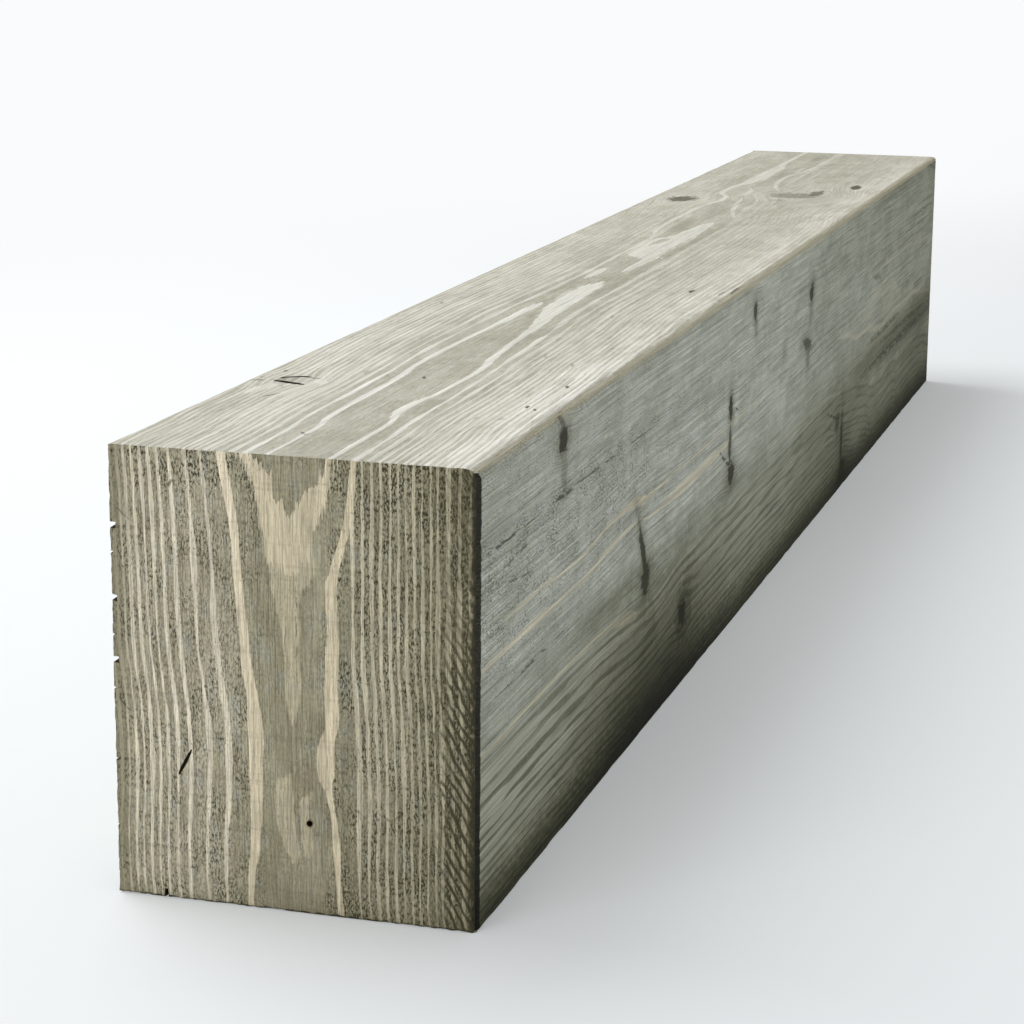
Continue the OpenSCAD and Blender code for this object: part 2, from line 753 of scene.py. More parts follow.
    def latewood(self, sheet: NodeSheet, bent: Wire, along: Wire, torn: Wire) -> tuple[Wire, Wire, Wire]:
        """Draws the pale lines of latewood.

        Args:
            sheet: The sheet to write into.
            bent: Distance across the grain as the rings see it.
            along: Distance along the grain.
            torn: Distance along the grain with torn borders.

        Returns:
            The strength of the latewood, one within the two innermost rings, and the ring number.
        """
        offset = bent - sheet.curve(along, self.heart)
        radius = sheet.root(offset * offset + sheet.curve(torn, self.lift))
        ring, spacing = self.count(sheet, radius, self.rings)
        if self.high_rings is not None:
            high = sheet.maths("GREATER_THAN", offset, 0.0)
            high_ring, high_spacing = self.count(sheet, offset, self.high_rings)
            ring = sheet.blend_values(high, ring, high_ring)
            spacing = sheet.blend_values(high, spacing, high_spacing)
        whole = sheet.maths("FLOOR", ring)
        gap = sheet.maths("ABSOLUTE", ring - whole - 0.5) * spacing
        skew = offset * self.RING_SKEW
        vary = self.layer(sheet, Layer.VARY, whole * self.VARY_STEP + skew, along)
        share = (sheet.rise(vary, *self.VARY_RANGE) - 0.5) * self.vary + 0.5
        half = sheet.curve(ring, self.widths, "VECTOR") * sheet.curve(along, self.spread) * share
        inside = sheet.rise(gap, half + self.soft, half - self.soft)
        outer = sheet.maths("GREATER_THAN", ring, 1.0)
        inner_fade = sheet.curve(torn, self.inner_fade)
        fade = sheet.blend_values(outer, inner_fade, sheet.curve(along, self.outer_fade))
        inner = sheet.rise(ring, *self.INNER_RINGS)
        drift = self.layer(sheet, Layer.DRIFT, whole * self.DRIFT_STEP + skew, along)
        loss = (1.0 - sheet.rise(drift, *self.DRIFT_RANGE)) * (1.0 - inner * self.INNER_HOLD)
        strength = 1.0 - loss * self.patchy
        late = inside * fade * strength
        return late, inner, ring

    def lay(self, sheet: NodeSheet, across: Wire, along: Wire) -> Course:
        """Lays the course of the rings round the knots.

        Args:
            sheet: The sheet to write into.
            across: Distance across the grain.
            along: Distance along the grain.

        Returns:
            The course at the point.
        """
        rough = self.layer(sheet, Layer.ROUGH, across, along)
        ragged = rough - 0.5
        point = sheet.vector(across, along, 0.0)
        ragged_edge = ragged * self.KNOT_JAG
        knot: Operand = 0.0
        halo: Operand = 0.0
        bent = across
        for branch in self.knots:
            reach = branch.reach(sheet, point)
            if branch.push > 0:
                pull = sheet.maths("EXPONENT", reach * reach * self.PULL) * branch.push
                bent = bent - (across - branch.across) * pull
            if branch.dark > 0:
                reach = reach + ragged_edge
                knot = sheet.maths("MAXIMUM", sheet.rise(reach, *self.KNOT_RIM, branch.dark), knot)
                halo = sheet.maths("MAXIMUM", sheet.rise(reach, *self.HALO_RIM, branch.dark), halo)
        bent = bent + (self.layer(sheet, Layer.SWAY, across, along) - 0.5) * (2 * self.sway)
        wander = (self.layer(sheet, Layer.RIPPLE, across, along) - 0.5) * (2 * self.ripple)
        wander = wander + (self.layer(sheet, Layer.FRAY, across, along) - 0.5) * (2 * self.fray)
        bent = bent + wander
        torn = along + (self.layer(sheet, Layer.TEAR, bent, along) - 0.5) * (2 * self.jag)
        late, inner, ring = self.latewood(sheet, bent, along, torn)
        hair = self.layer(sheet, Layer.HAIR, bent, along)
        feather = hair * self.feather + (1.0 - self.feather / 2)
        course = across + wander
        for seam in self.seams:
            mask = seam.mask(sheet, course, along, torn, feather, self.soft)
            late = sheet.blend_values(mask, late, seam.late)
            inner = sheet.blend_values(mask, inner, seam.warm)
        if self.blazes:
            frayed = (hair - 0.5) * self.BLAZE_FRAY + ragged * self.BLAZE_JAG
            late = sheet.maths("MAXIMUM", late, self.spots(sheet, self.blazes, point, frayed))
        patch = self.layer(sheet, Layer.PATCH, across, along)
        return Course(bent, rough, patch, late, inner, sheet.curve(ring, self.dims, "VECTOR"), knot, halo)

    def draw(self, sheet: NodeSheet, across: Wire, along: Wire) -> Grain:
        """Draws the figure.

        Args:
            sheet: The sheet to write into.
            across: Distance across the grain.
            along: Distance along the grain.

        Returns:
            The figure at the point.
        """
        course = self.lay(sheet, across, along)
        bent = course.bent
        ragged = course.rough - 0.5
        shake: Operand = 0.0
        point = sheet.vector(across + ragged * self.CRACK_JAG, along, 0.0)
        for crack in self.shakes:
            mask = sheet.rise(crack.reach(sheet, point) + ragged, *self.CRACK_RIM, crack.dark)
            shake = sheet.maths("MAXIMUM", mask, shake)
        if self.shakes:
            dash = self.layer(sheet, Layer.DASH, across, along, (self.DASH_WIDTH, self.dash))
            shake = shake * sheet.rise(dash, *self.DASH_RANGE)
        stain: Operand = 0.0
        for spot in self.stains:
            reach = spot.reach(sheet, point) + ragged * self.STAIN_JAG
            stain = sheet.rise(reach, *self.STAIN_RIM, spot.dark) + stain
        fibre = self.layer(sheet, Layer.FIBRE, bent, along, self.fibre_size)
        streak = self.layer(sheet, Layer.STREAK, bent, along, self.streak_size)
        clump = sheet.rise(self.layer(sheet, Layer.CLUMP, bent, along), *self.CLUMP_RANGE)
        clump = clump * self.CLUMP_SHARE + (1 - self.CLUMP_SHARE)
        clump = clump * sheet.curve(along, self.speck_fade) * sheet.curve(across, self.speck_belt)
        grains = self.layer(sheet, Layer.SPECK, bent, along, self.speck_size, self.speck_detail)
        grains = grains - course.late * self.LATE_SPARED
        speck = sheet.rise(grains, self.speck_level, self.speck_level + self.speck_ramp) * clump
        bloom = sheet.rise(self.layer(sheet, Layer.BLOOM, bent, along), *self.BLOOM_RANGE)
        stroke = None
        if self.hatch is not None:
            bow = self.layer(sheet, Layer.BOW, across, along)
            stroke = self.hatch.mask(sheet, across, along, bow, ragged)
        bands = None
        if self.saw_bands > 0:
            level = self.layer(sheet, Layer.BANDS, across, along + across * self.BAND_SLOPE)
            bands = sheet.rise(level, *self.BAND_RANGE) * self.saw_bands
        return Grain(course, fibre, streak, speck, bloom, shake, stain, stroke, bands)

    def relief(self, course: Course) -> Wire:
        """Sums up how far the face stands proud.

        Args:
            course: The course of the rings at the point.

        Returns:
            The height in millimetres.
        """
        height = course.late * self.proud + (course.patch - 0.5) * self.PATCH_DEPTH
        if self.knots:
            height = height - course.knot * self.KNOT_DEPTH
        return height

    def nap(self, sheet: NodeSheet, across: Wire, along: Wire) -> Wire:
        """Sums up the fine roughness that the mesh is too coarse for.

        Args:
            sheet: The sheet to write into.
            across: Distance across the grain.
            along: Distance along the grain.

        Returns:
            The height in millimetres.
        """
        fibre = self.layer(sheet, Layer.NAP, across, along, self.fibre_size)
        pits = self.layer(sheet, Layer.PITS, across, along, self.speck_size)
        return (fibre - 0.5) * self.nap_depth - sheet.rise(pits, *self.PIT_RANGE) * self.PIT_DEPTH


@dataclass(frozen=True)
class Palette:
    """The colours of one face.

    Attributes:
        early: Earlywood.
        early_alt: Earlywood in other patches.
        late: Latewood.
        late_inner: Latewood of the two innermost rings and of the warm seams.
        haze: Cool grey bloom.
        haze_share: How much of the wood the bloom covers.
        speck: Dark specks.
        speck_share: How dark the specks are.
        fibre_share: How strongly the fibres stand out.
        knot: Knots.
        halo: Wood round the knots.
        halo_share: How strongly that wood shows.
        shake: Cracks.
        across_shade: Places across the face, each with a factor on its brightness: painted shade and light.
        along_shade: Places along the face, each with a factor on its brightness: painted shade and light.
        shade_jag: How far the shading's borders wander, in millimetres.
        edges: Strips along the edges: wear and dirt, painted shade and painted light.
    """

    early: Colour
    early_alt: Colour
    late: Colour
    late_inner: Colour
    haze: Colour
    haze_share: float
    speck: Colour
    speck_share: float
    fibre_share: float
    knot: Colour
    halo: Colour
    halo_share: float
    shake: Colour
    across_shade: Points
    along_shade: Points
    shade_jag: float
    edges: tuple[Edge, ...]


@dataclass(frozen=True)
class Face:
    """One face of the beam with its figure and its colours.

    Attributes:
        side: Which face it is.
        figure: How the rings meet it.
        palette: Its colours.
        near_end: Where the near end lies on the long axis, in metres.
    """

    side: Side
    figure: Figure
    palette: Palette
    near_end: float

    PATCH_RANGE = (0.38, 0.62)
    FIBRE_RANGE = (0.34, 0.66)
    STREAK_GAIN = 1.8
    JAG_GAIN = 4
    STROKE_SHARE = 0.95
    ROUGHNESS = 0.68
    ROUGHNESS_SPREAD = 0.25
    BUMP_STRENGTH = 0.9

    def colour(self, sheet: NodeSheet, across: Wire, along: Wire) -> tuple[Wire, Grain]:
        """Mixes the colour of the face.

        Args:
            sheet: The sheet to write into.
            across: Distance across the grain.
            along: Distance along the grain.

        Returns:
            The colour, and the figure that it follows.
        """
        paint = self.palette
        grain = self.figure.draw(sheet, across, along)
        course = grain.course
        ragged = course.rough - 0.5
        mix = sheet.blend(sheet.rise(course.patch, *self.PATCH_RANGE), paint.early, paint.early_alt)
        mix = sheet.blend(grain.haze * paint.haze_share, mix, paint.haze)
        mix = sheet.dull(mix, course.dim)
        mix = sheet.blend(course.late, mix, sheet.blend(course.inner, paint.late, paint.late_inner))
        if self.figure.knots:
            mix = sheet.blend(course.halo * paint.halo_share, mix, paint.halo)
        hair = (sheet.rise(grain.fibre, *self.FIBRE_RANGE) - 0.5) * paint.fibre_share
        # Painted shade and light across and along the face, multiplied with the stains.
        shade = sheet.curve(across + ragged * (self.JAG_GAIN * paint.shade_jag), paint.across_shade)
        shade = shade * sheet.curve(along, paint.along_shade)
        if self.figure.stains:
            shade = shade * (1.0 - grain.stain)
        streak = (grain.streak - 0.5) * (self.STREAK_GAIN * paint.fibre_share)
        mix = sheet.scale(mix, hair + streak + 1.0)
        mix = sheet.dull(mix, shade)
        # Strips along the edges: wear and dirt on some, painted shade and painted light on the arrises of
        # others.
        for edge in paint.edges:
            place = along if edge.at_end else across
            inward = sheet.maths("ABSOLUTE", place - edge.place) + ragged * (self.JAG_GAIN * edge.jag)
            ragged_edge = sheet.rise(inward, edge.width + edge.soft, edge.width, edge.strength)
            mix = sheet.blend(ragged_edge, mix, edge.colour)
        mix = sheet.blend(grain.speck * paint.speck_share, mix, paint.speck)
        if grain.bands is not None:
            mix = sheet.scale(mix, 1.0 - grain.bands)
        if grain.stroke is not None:
            mix = sheet.blend(grain.stroke * self.STROKE_SHARE, mix, paint.speck)
        if self.figure.knots:
            mix = sheet.blend(course.knot, mix, paint.knot)
        if self.figure.shakes:
            mix = sheet.blend(grain.shake, mix, paint.shake)
        return mix, grain

    def material(self) -> bpy.types.Material:
        """Makes the face's material.

        Returns:
            The material.
        """
        made = bpy.data.materials.new(f"treated_timber_{self.side.name.lower()}")
        made.use_nodes = True
        sheet = NodeSheet(made.node_tree)
        shader = made.node_tree.nodes["Principled BSDF"]
        position = Wire(sheet, sheet.node("ShaderNodeTexCoord").outputs["Object"])
        across, along = self.side.place(sheet, position, self.near_end)
        colour, grain = self.colour(sheet, across, along)
        sheet.feed(shader.inputs["Base Color"], colour)
        sheet.feed(shader.inputs["Roughness"], grain.course.rough * self.ROUGHNESS_SPREAD + self.ROUGHNESS)
        shader.inputs["Specular IOR Level"].default_value = WOOD_SPECULAR
        bump = sheet.node("ShaderNodeBump")
        bump.inputs["Strength"].default_value = self.BUMP_STRENGTH
        bump.inputs["Distance"].default_value = 1.0
        sheet.feed(bump.inputs["Height"], self.figure.nap(sheet, across, along) * MM)
        made.node_tree.links.new(bump.outputs[0], shader.inputs["Normal"])
        return made


@dataclass(frozen=True)
class Arris:
    """One arris of the beam and how far it is eased.

    Attributes:
        sides: The two faces that meet in it.
        radius: Its size in metres.
        far_radius: Its size towards the far end, if that differs.
        wear: How far wear eats into it, in metres.
        power: Its shape: two is round, one is flat.
    """

    sides: tuple[Side, Side]
    radius: float
    far_radius: Optional[float] = None
    wear: float = 0.0004
    power: float = 2.0


@dataclass(frozen=True)
class Cut:
    """A hollow that is cut out of the beam.

    Attributes:
        centre: Its centre in metres.
        half: Half its sizes in metres, before it is turned.
        turn: Its turn in degrees, about each axis.
        wedge: Whether it tapers to an edge along its second axis, as a torn splinter does.
        ragged: How far its points wander, in metres.
    """

    centre: tuple[float, float, float]
    half: tuple[float, float, float]
    turn: tuple[float, float, float] = (0.0, 0.0, 0.0)
    wedge: bool = False
    ragged: float = 0.0


class ModelKit:
    """The modelling steps that the beam needs."""

    STRAIGHT = 1e-6

    @staticmethod
    def clear_selection() -> None:
        """Goes to object mode with nothing selected."""
        if bpy.context.mode != "OBJECT":
            bpy.ops.object.mode_set(mode="OBJECT")
        bpy.ops.object.select_all(action="DESELECT")

    @staticmethod
    def choose(obj: bpy.types.Object) -> None:
        """Makes one object the only one selected, and the active one."""
        ModelKit.clear_selection()
        obj.select_set(True)
        bpy.context.view_layer.objects.active = obj

    @staticmethod
    def select_edges(obj: bpy.types.Object, axis: int, shortest: float) -> None:
        """Selects the edges that run along an axis.

        Args:
            obj: The mesh object, in object mode.
            axis: The axis.
            shortest: The least length of an edge that counts.
        """
        mesh = obj.data
        places = np.empty(len(mesh.vertices) * 3)
        mesh.vertices.foreach_get("co", places)
        places = places.reshape(-1, 3)
        ends = np.empty(len(mesh.edges) * 2, dtype=int)
        mesh.edges.foreach_get("vertices", ends)
        ends = ends.reshape(-1, 2)
        run = np.abs(places[ends[:, 1]] - places[ends[:, 0]])
        chosen = (run[:, axis] > shortest) & (run.sum(axis=1) - run[:, axis] < ModelKit.STRAIGHT)
        mesh.vertices.foreach_set("select", np.zeros(len(mesh.vertices), dtype=bool))
        mesh.polygons.foreach_set("select", np.zeros(len(mesh.polygons), dtype=bool))
        mesh.edges.foreach_set("select", chosen)

    @staticmethod
    def divide(obj: bpy.types.Object, axis: int, cuts: int, shortest: float = 0.0) -> None:
        """Divides the edges along an axis.

        Args:
            obj: The mesh object.
            axis: The axis.
            cuts: Number of cuts in each edge.
            shortest: The least length of an edge that is divided.
        """
        ModelKit.choose(obj)
        bpy.context.tool_settings.mesh_select_mode = (False, True, False)
        ModelKit.select_edges(obj, axis, shortest)
        bpy.ops.object.mode_set(mode="EDIT")
        bpy.ops.mesh.subdivide(number_cuts=cuts)
        bpy.ops.object.mode_set(mode="OBJECT")

    @staticmethod
    def apply(obj: bpy.types.Object, modifier: bpy.types.Modifier) -> None:
        """Applies a modifier to its object."""
        ModelKit.choose(obj)
        bpy.ops.object.modifier_apply(modifier=modifier.name)


@dataclass
class Beam:
    """The weathered beam.

    Attributes:
        low: Lowest corner in metres.
        high: Highest corner in metres.
        arrises: The eased arrises.
        faces: The dressed faces.
        cuts: The hollows.
    """

    low: Vector
    high: Vector
    arrises: tuple[Arris, ...]
    faces: tuple[Face, ...]
    cuts: tuple[Cut, ...]

    ROWS = (0.7, 1.5, 2.4, 3.4, 4.5, 6.0)
    DIVISIONS = ((1, 11, 10), (0, 8, 9), (2, 10, 9))
    LONG_EDGE = 0.1
    FIELD_EDGE = 0.008
    TAPER_RUN = 0.9
    WEAR_GRAIN = (4.0, 26.0)
    WEAR_SEED = 77.0
    WEAR_DETAIL = 3.0
    WEAR_ROUGH = 0.6
    WEAR_RANGE = (0.45, 0.7)
    LEAST_LENGTH = 1e-6
    FACING_RANGE = (0.55, 0.95)
    RELIEF_LEVEL = 0.2
    WEDGE_TIP = (0.05, 1.0, 0.5)
    WEDGE_CUTS = 3
    BALL_SEGMENTS = 20
    BALL_RINGS = 12
    SAME_PLACE = 2e-6
    MENDING_ROUNDS = 3
    SMOOTH_ANGLE = 50
    MAP = {
        Side.TOP: ((0.002, 0.226), (0.002, 0.998)),
        Side.RIGHT: ((0.230, 0.484), (0.002, 0.998)),
        Side.LEFT: ((0.488, 0.674), (0.002, 0.998)),
        Side.UNDERSIDE: ((0.678, 0.814), (0.002, 0.998)),
        Side.NEAR_END: ((0.818, 0.998), (0.002, 0.598)),
        Side.FAR_END: ((0.818, 0.998), (0.602, 0.998)),
    }

    def block(self) -> bpy.types.Object:
        """Models the sawn block with the divisions that its relief needs.

        Returns:
            The block.
        """
        ModelKit.clear_selection()
        bpy.ops.mesh.primitive_cube_add(size=1.0, location=(0, 0, 0))
        obj = bpy.context.object
        obj.name = "timber_beam_weathered"
        size = self.high - self.low
        middle = (self.high + self.low) / 2
        bpy.ops.object.mode_set(mode="EDIT")
        bpy.ops.mesh.select_all(action="SELECT")
        bpy.ops.transform.resize(value=tuple(size), center_override=(0, 0, 0))
        bpy.ops.transform.translate(value=tuple(middle))
        for axis in range(3):
            normal = [float(axis == other) for other in range(3)]
            for row in self.ROWS:
                for level in (self.low[axis] + row * MM, self.high[axis] - row * MM):
                    bpy.ops.mesh.select_all(action="SELECT")
                    bpy.ops.mesh.bisect(plane_co=[part * level for part in normal], plane_no=normal)
        bpy.ops.object.mode_set(mode="OBJECT")
        for axis, first, second in self.DIVISIONS:
            ModelKit.divide(obj, axis, first, self.LONG_EDGE)
            ModelKit.divide(obj, axis, second, self.FIELD_EDGE)
        return obj

    def corner(self, side: Side) -> float:
        """Returns where a face lies on its outward axis."""
        axis, sign = side.value[0], side.value[1]
        return self.high[axis] if sign > 0 else self.low[axis]

    def ease(self, sheet: NodeSheet, parts: list[Wire], arris: Arris, ragged_edge: Wire) -> None:
        """Rounds one arris in place.

        Args:
            sheet: The sheet to write into.
            parts: The three coordinates, which are replaced.
            arris: The arris.
            ragged_edge: Noise from nought to one that says where wear eats into the arris.
        """
        axes = [side.value[0] for side in arris.sides]
        signs = [side.value[1] for side in arris.sides]
        reach: Operand = arris.radius + arris.wear
        if arris.far_radius is not None:
            far = sheet.rise(parts[1], self.low.y, self.low.y + self.TAPER_RUN)
            reach = reach + far * (arris.far_radius - arris.radius)
        centres = [reach * -sign + self.corner(side) for side, sign in zip(arris.sides, signs)]
        offs = [(parts[axis] - centre) * sign for axis, centre, sign in zip(axes, centres, signs)]
        inside = sheet.maths("GREATER_THAN", sheet.maths("MINIMUM", offs[0], offs[1]), 0.0)
        kept = [sheet.maths("POWER", sheet.maths("MAXIMUM", off, 0.0), arris.power) for off in offs]
        length = sheet.maths("POWER", kept[0] + kept[1], 1 / arris.power)
        rim = reach - sheet.rise(ragged_edge, *self.WEAR_RANGE) * arris.wear
        factor = sheet.maths("DIVIDE", rim, sheet.maths("MAXIMUM", length, self.LEAST_LENGTH))
        factor = 1.0 + (factor - 1.0) * inside
        for axis, centre, sign, off in zip(axes, centres, signs, offs):
            parts[axis] = off * factor * sign + centre

    def eased(self, sheet: NodeSheet, position: Wire) -> Wire:
        """Eases every arris.

        Args:
            sheet: The sheet to write into.
            position: A point of the block.

        Returns:
            The point of the eased block.
        """
        parts = list(sheet.parts(position))
        level = parts[2] * (1 / MM) + parts[0] * (1 / MM)
        along = parts[1] * (1 / MM)
        ragged_edge = sheet.noise(level, along, self.WEAR_GRAIN, self.WEAR_SEED, self.WEAR_DETAIL, self.WEAR_ROUGH)
        for arris in self.arrises:
            self.ease(sheet, parts, arris, ragged_edge)
        return sheet.vector(*parts)

    def raised(self, face: Face, sheet: NodeSheet, position: Wire) -> Wire:
        """Raises the relief of one face.

        Args:
            face: The face.
            sheet: The sheet to write into.
            position: A point of the beam.

        Returns:
            The point with the relief.
        """
        normal = Wire(sheet, sheet.node("GeometryNodeInputNormal").outputs[0])
        axis, sign = face.side.value[0], face.side.value[1]
        share = sheet.rise(sheet.parts(normal)[axis] * sign, *self.FACING_RANGE)
        course = face.figure.lay(sheet, *face.side.place(sheet, position, face.near_end))
        parts = list(sheet.parts(position))
        parts[axis] = parts[axis] + (face.figure.relief(course) - self.RELIEF_LEVEL) * share * (MM * sign)
        return sheet.vector(*parts)

    def shift(self, obj: bpy.types.Object, name: str, moved: Callable[[NodeSheet, Wire], Wire]) -> None:
        """Moves every point of the beam and applies the move.

        Args:
            obj: The beam.
            name: Name of the step.
            moved: Writes the nodes that turn an old point into a new one.
        """
        tree = bpy.data.node_groups.new(name, "GeometryNodeTree")
        tree.interface.new_socket("Geometry", in_out="INPUT", socket_type="NodeSocketGeometry")
        tree.interface.new_socket("Geometry", in_out="OUTPUT", socket_type="NodeSocketGeometry")
        sheet = NodeSheet(tree)
        position = Wire(sheet, sheet.node("GeometryNodeInputPosition").outputs[0])
        placed = sheet.node("GeometryNodeSetPosition")
        sheet.feed(placed.inputs["Position"], moved(sheet, position))
        tree.links.new(sheet.node("NodeGroupInput").outputs[0], placed.inputs["Geometry"])
        tree.links.new(placed.outputs[0], sheet.node("NodeGroupOutput").inputs[0])
        modifier = obj.modifiers.new(name, "NODES")
        modifier.node_group = tree
        ModelKit.apply(obj, modifier)

    def weather(self, obj: bpy.types.Object) -> None:
        """Eases the arrises and raises the relief of the grain.

        Args:
            obj: The block.
        """
        self.shift(obj, "easing", self.eased)
        for face in self.faces:
            self.shift(obj, face.side.name.lower(), partial(self.raised, face))

    def cutter(self, cut: Cut, material: bpy.types.Material, seed: int) -> bpy.types.Object:
        """Models the body that is taken away for one hollow.

        Args:
            cut: The hollow.
            material: The finish inside it, dark with painted shade.
            seed: Seed of its raggedness.

        Returns:
            The cutter.
        """
        ModelKit.clear_selection()
        if cut.wedge:
            bpy.ops.mesh.primitive_cube_add(size=2.0, location=(0, 0, 0))
        else:
            bpy.ops.mesh.primitive_uv_sphere_add(
                segments=self.BALL_SEGMENTS, ring_count=self.BALL_RINGS, radius=1.0, location=(0, 0, 0)
            )
        obj = bpy.context.object
        bpy.context.tool_settings.mesh_select_mode = (False, False, True)
        if cut.wedge:
            obj.data.vertices.foreach_set("select", [vertex.co.y > 0.5 for vertex in obj.data.vertices])
            obj.data.edges.foreach_set("select", [False] * len(obj.data.edges))
            obj.data.polygons.foreach_set("select", [face.normal.y > 0.5 for face in obj.data.polygons])
        bpy.ops.object.mode_set(mode="EDIT")
        if cut.wedge:
            bpy.ops.transform.resize(value=self.WEDGE_TIP, center_override=(0, 1, 0))
        bpy.ops.mesh.select_all(action="SELECT")
        if cut.wedge:
            bpy.ops.mesh.subdivide(number_cuts=self.WEDGE_CUTS)
        bpy.ops.transform.resize(value=cut.half, center_override=(0, 0, 0))
        if cut.ragged > 0:
            bpy.ops.transform.vertex_random(offset=cut.ragged, seed=seed)
        for axis, turn in zip("XYZ", cut.turn):
            bpy.ops.transform.rotate(value=math.radians(turn), orient_axis=axis, center_override=(0, 0, 0))
        bpy.ops.transform.translate(value=cut.centre)
        bpy.ops.object.mode_set(mode="OBJECT")
        obj.data.materials.append(material)
        return obj

    def carve(self, obj: bpy.types.Object, material: bpy.types.Material) -> None:
        """Takes the hollows out of the beam.

        Args:
            obj: The beam.
            material: The finish inside them, dark with painted shade.
        """
        for index, cut in enumerate(self.cuts):
            tool = self.cutter(cut, material, index)
            modifier = obj.modifiers.new("cut", "BOOLEAN")
            modifier.operation = "DIFFERENCE"
            modifier.solver = "MANIFOLD"
            modifier.material_mode = "TRANSFER"
            modifier.object = tool
            ModelKit.apply(obj, modifier)
            bpy.data.objects.remove(tool)

    def mend(self, obj: bpy.types.Object) -> None:
        """Takes away the crumbs and the folded slivers that the cuts leave behind.

        Args:
            obj: The carved beam.
        """
        ModelKit.choose(obj)
        bpy.context.tool_settings.mesh_select_mode = (False, False, True)
        bpy.ops.object.mode_set(mode="EDIT")
        bpy.ops.mesh.select_all(action="DESELECT")
        bpy.ops.object.mode_set(mode="OBJECT")
        max(obj.data.polygons, key=lambda face: face.area).select = True
        bpy.ops.object.mode_set(mode="EDIT")
        bpy.ops.mesh.select_linked()
        bpy.ops.mesh.select_all(action="INVERT")
        bpy.ops.mesh.delete(type="FACE")
        bpy.ops.mesh.select_all(action="SELECT")
        bpy.ops.mesh.remove_doubles(threshold=self.SAME_PLACE)
        bpy.ops.mesh.select_face_by_sides(number=4, type="GREATER", extend=False)
        for _ in range(self.MENDING_ROUNDS):
            bpy.ops.mesh.select_more()
        bpy.ops.mesh.quads_convert_to_tris()
        bpy.ops.mesh.select_mode(type="EDGE")
        for _ in range(self.MENDING_ROUNDS):
            bpy.ops.mesh.select_non_manifold(
                extend=False, use_multi_face=False, use_non_contiguous=False, use_verts=False
            )
            bpy.ops.mesh.delete(type="EDGE")
        bpy.ops.object.mode_set(mode="OBJECT")

    def skin(self, obj: bpy.types.Object) -> None:
        """Gives each face of the plain block its material.

        Args:
            obj: The block.
        """
        for face in self.faces:
            obj.data.materials.append(face.material())
        normals = np.empty(len(obj.data.polygons) * 3)
        obj.data.polygons.foreach_get("normal", normals)
        outward = np.array([face.side.outward for face in self.faces])
        facing = normals.reshape(-1, 3) @ outward.T
        obj.data.polygons.foreach_set("material_index", np.argmax(facing, axis=1))

    def map_out(self, obj: bpy.types.Object) -> None:
        """Lays each face flat on one square map, with the torn wood where it breaks the face.

        Args:
            obj: The carved beam.
        """
        mesh = obj.data
        middles = np.empty(len(mesh.polygons) * 3)
        mesh.polygons.foreach_get("center", middles)
        planes = np.array([self.corner(face.side) for face in self.faces])
        axes = [face.side.value[0] for face in self.faces]
        nearest = np.argmin(np.abs(middles.reshape(-1, 3)[:, axes] - planes), axis=1)
        index = np.empty(len(mesh.polygons), dtype=int)
        mesh.polygons.foreach_get("material_index", index)
        index = np.where(index < len(self.faces), index, nearest)
        counts = np.empty(len(mesh.polygons), dtype=int)
        mesh.polygons.foreach_get("loop_total", counts)
        corners = np.empty(len(mesh.loops), dtype=int)
        mesh.loops.foreach_get("vertex_index", corners)
        places = np.empty(len(mesh.vertices) * 3)
        mesh.vertices.foreach_get("co", places)
        points = places.reshape(-1, 3)[corners]
        owner = np.repeat(index, counts)
        flat = np.zeros((len(mesh.loops), 2))
        for number, face in enumerate(self.faces):
            mine = owner == number
            for part, axis in enumerate(face.side.value[2:]):
                share = (points[mine, axis] - self.low[axis]) / (self.high[axis] - self.low[axis])
                begin, end = self.MAP[face.side][part]
                flat[mine, part] = begin + np.clip(share, 0.0, 1.0) * (end - begin)
        mesh.uv_layers.new(name="OFBake").data.foreach_set("uv", flat.ravel())

    def build(self) -> bpy.types.Object:
        """Builds and dresses the beam.

        Returns:
            The finished piece.
        """
        obj = self.block()
        self.skin(obj)
        self.weather(obj)
        self.carve(obj, ShadedTornWood().material())
        self.mend(obj)
        self.map_out(obj)
        ModelKit.choose(obj)
        bpy.ops.object.shade_smooth_by_angle(angle=math.radians(self.SMOOTH_ANGLE))
        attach(obj, BODY)
        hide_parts(NODE)
        return obj


@dataclass(frozen=True)
class ShadedTornWood:
    """The finish inside cracks and splinters: dark torn fibres under painted shade.

    Attributes:
        deep: Its near-black colour, painted shade in the hollows.
        fibre: Its lighter colour.
        size: Size of its fibres in millimetres.
        seed: Number that tells its noise from another.
        detail: Number of finer layers in its noise.
        rough: Strength of each finer layer against the one before it.
        roughness: Roughness of its surface.
    """

    # Near-black: painted shade inside the hollows, over dark torn fibres.
    deep: Colour = tint(18, 16, 11)
    fibre: Colour = tint(66, 58, 41)
    size: Size = (0.6, 6.0)
    seed: float = 91.0
    detail: float = 3.0
    rough: float = 0.6
    roughness: float = 0.9

    def material(self) -> bpy.types.Material:
        """Makes the material.

        Returns:
            The material.
        """
        made = bpy.data.materials.new("shaded_torn_wood")
        made.use_nodes = True
        sheet = NodeSheet(made.node_tree)
        shader = made.node_tree.nodes["Principled BSDF"]
        parts = sheet.parts(Wire(sheet, sheet.node("ShaderNodeTexCoord").outputs["Object"]))
        across = (parts[0] + parts[2]) * (1 / MM)
        hair = sheet.noise(across, parts[1] * (1 / MM), self.size, self.seed, self.detail, self.rough)
        sheet.feed(shader.inputs["Base Color"], sheet.blend(hair, self.deep, self.fibre))
        shader.inputs["Roughness"].default_value = self.roughness
        shader.inputs["Specular IOR Level"].default_value = WOOD_SPECULAR
        return made


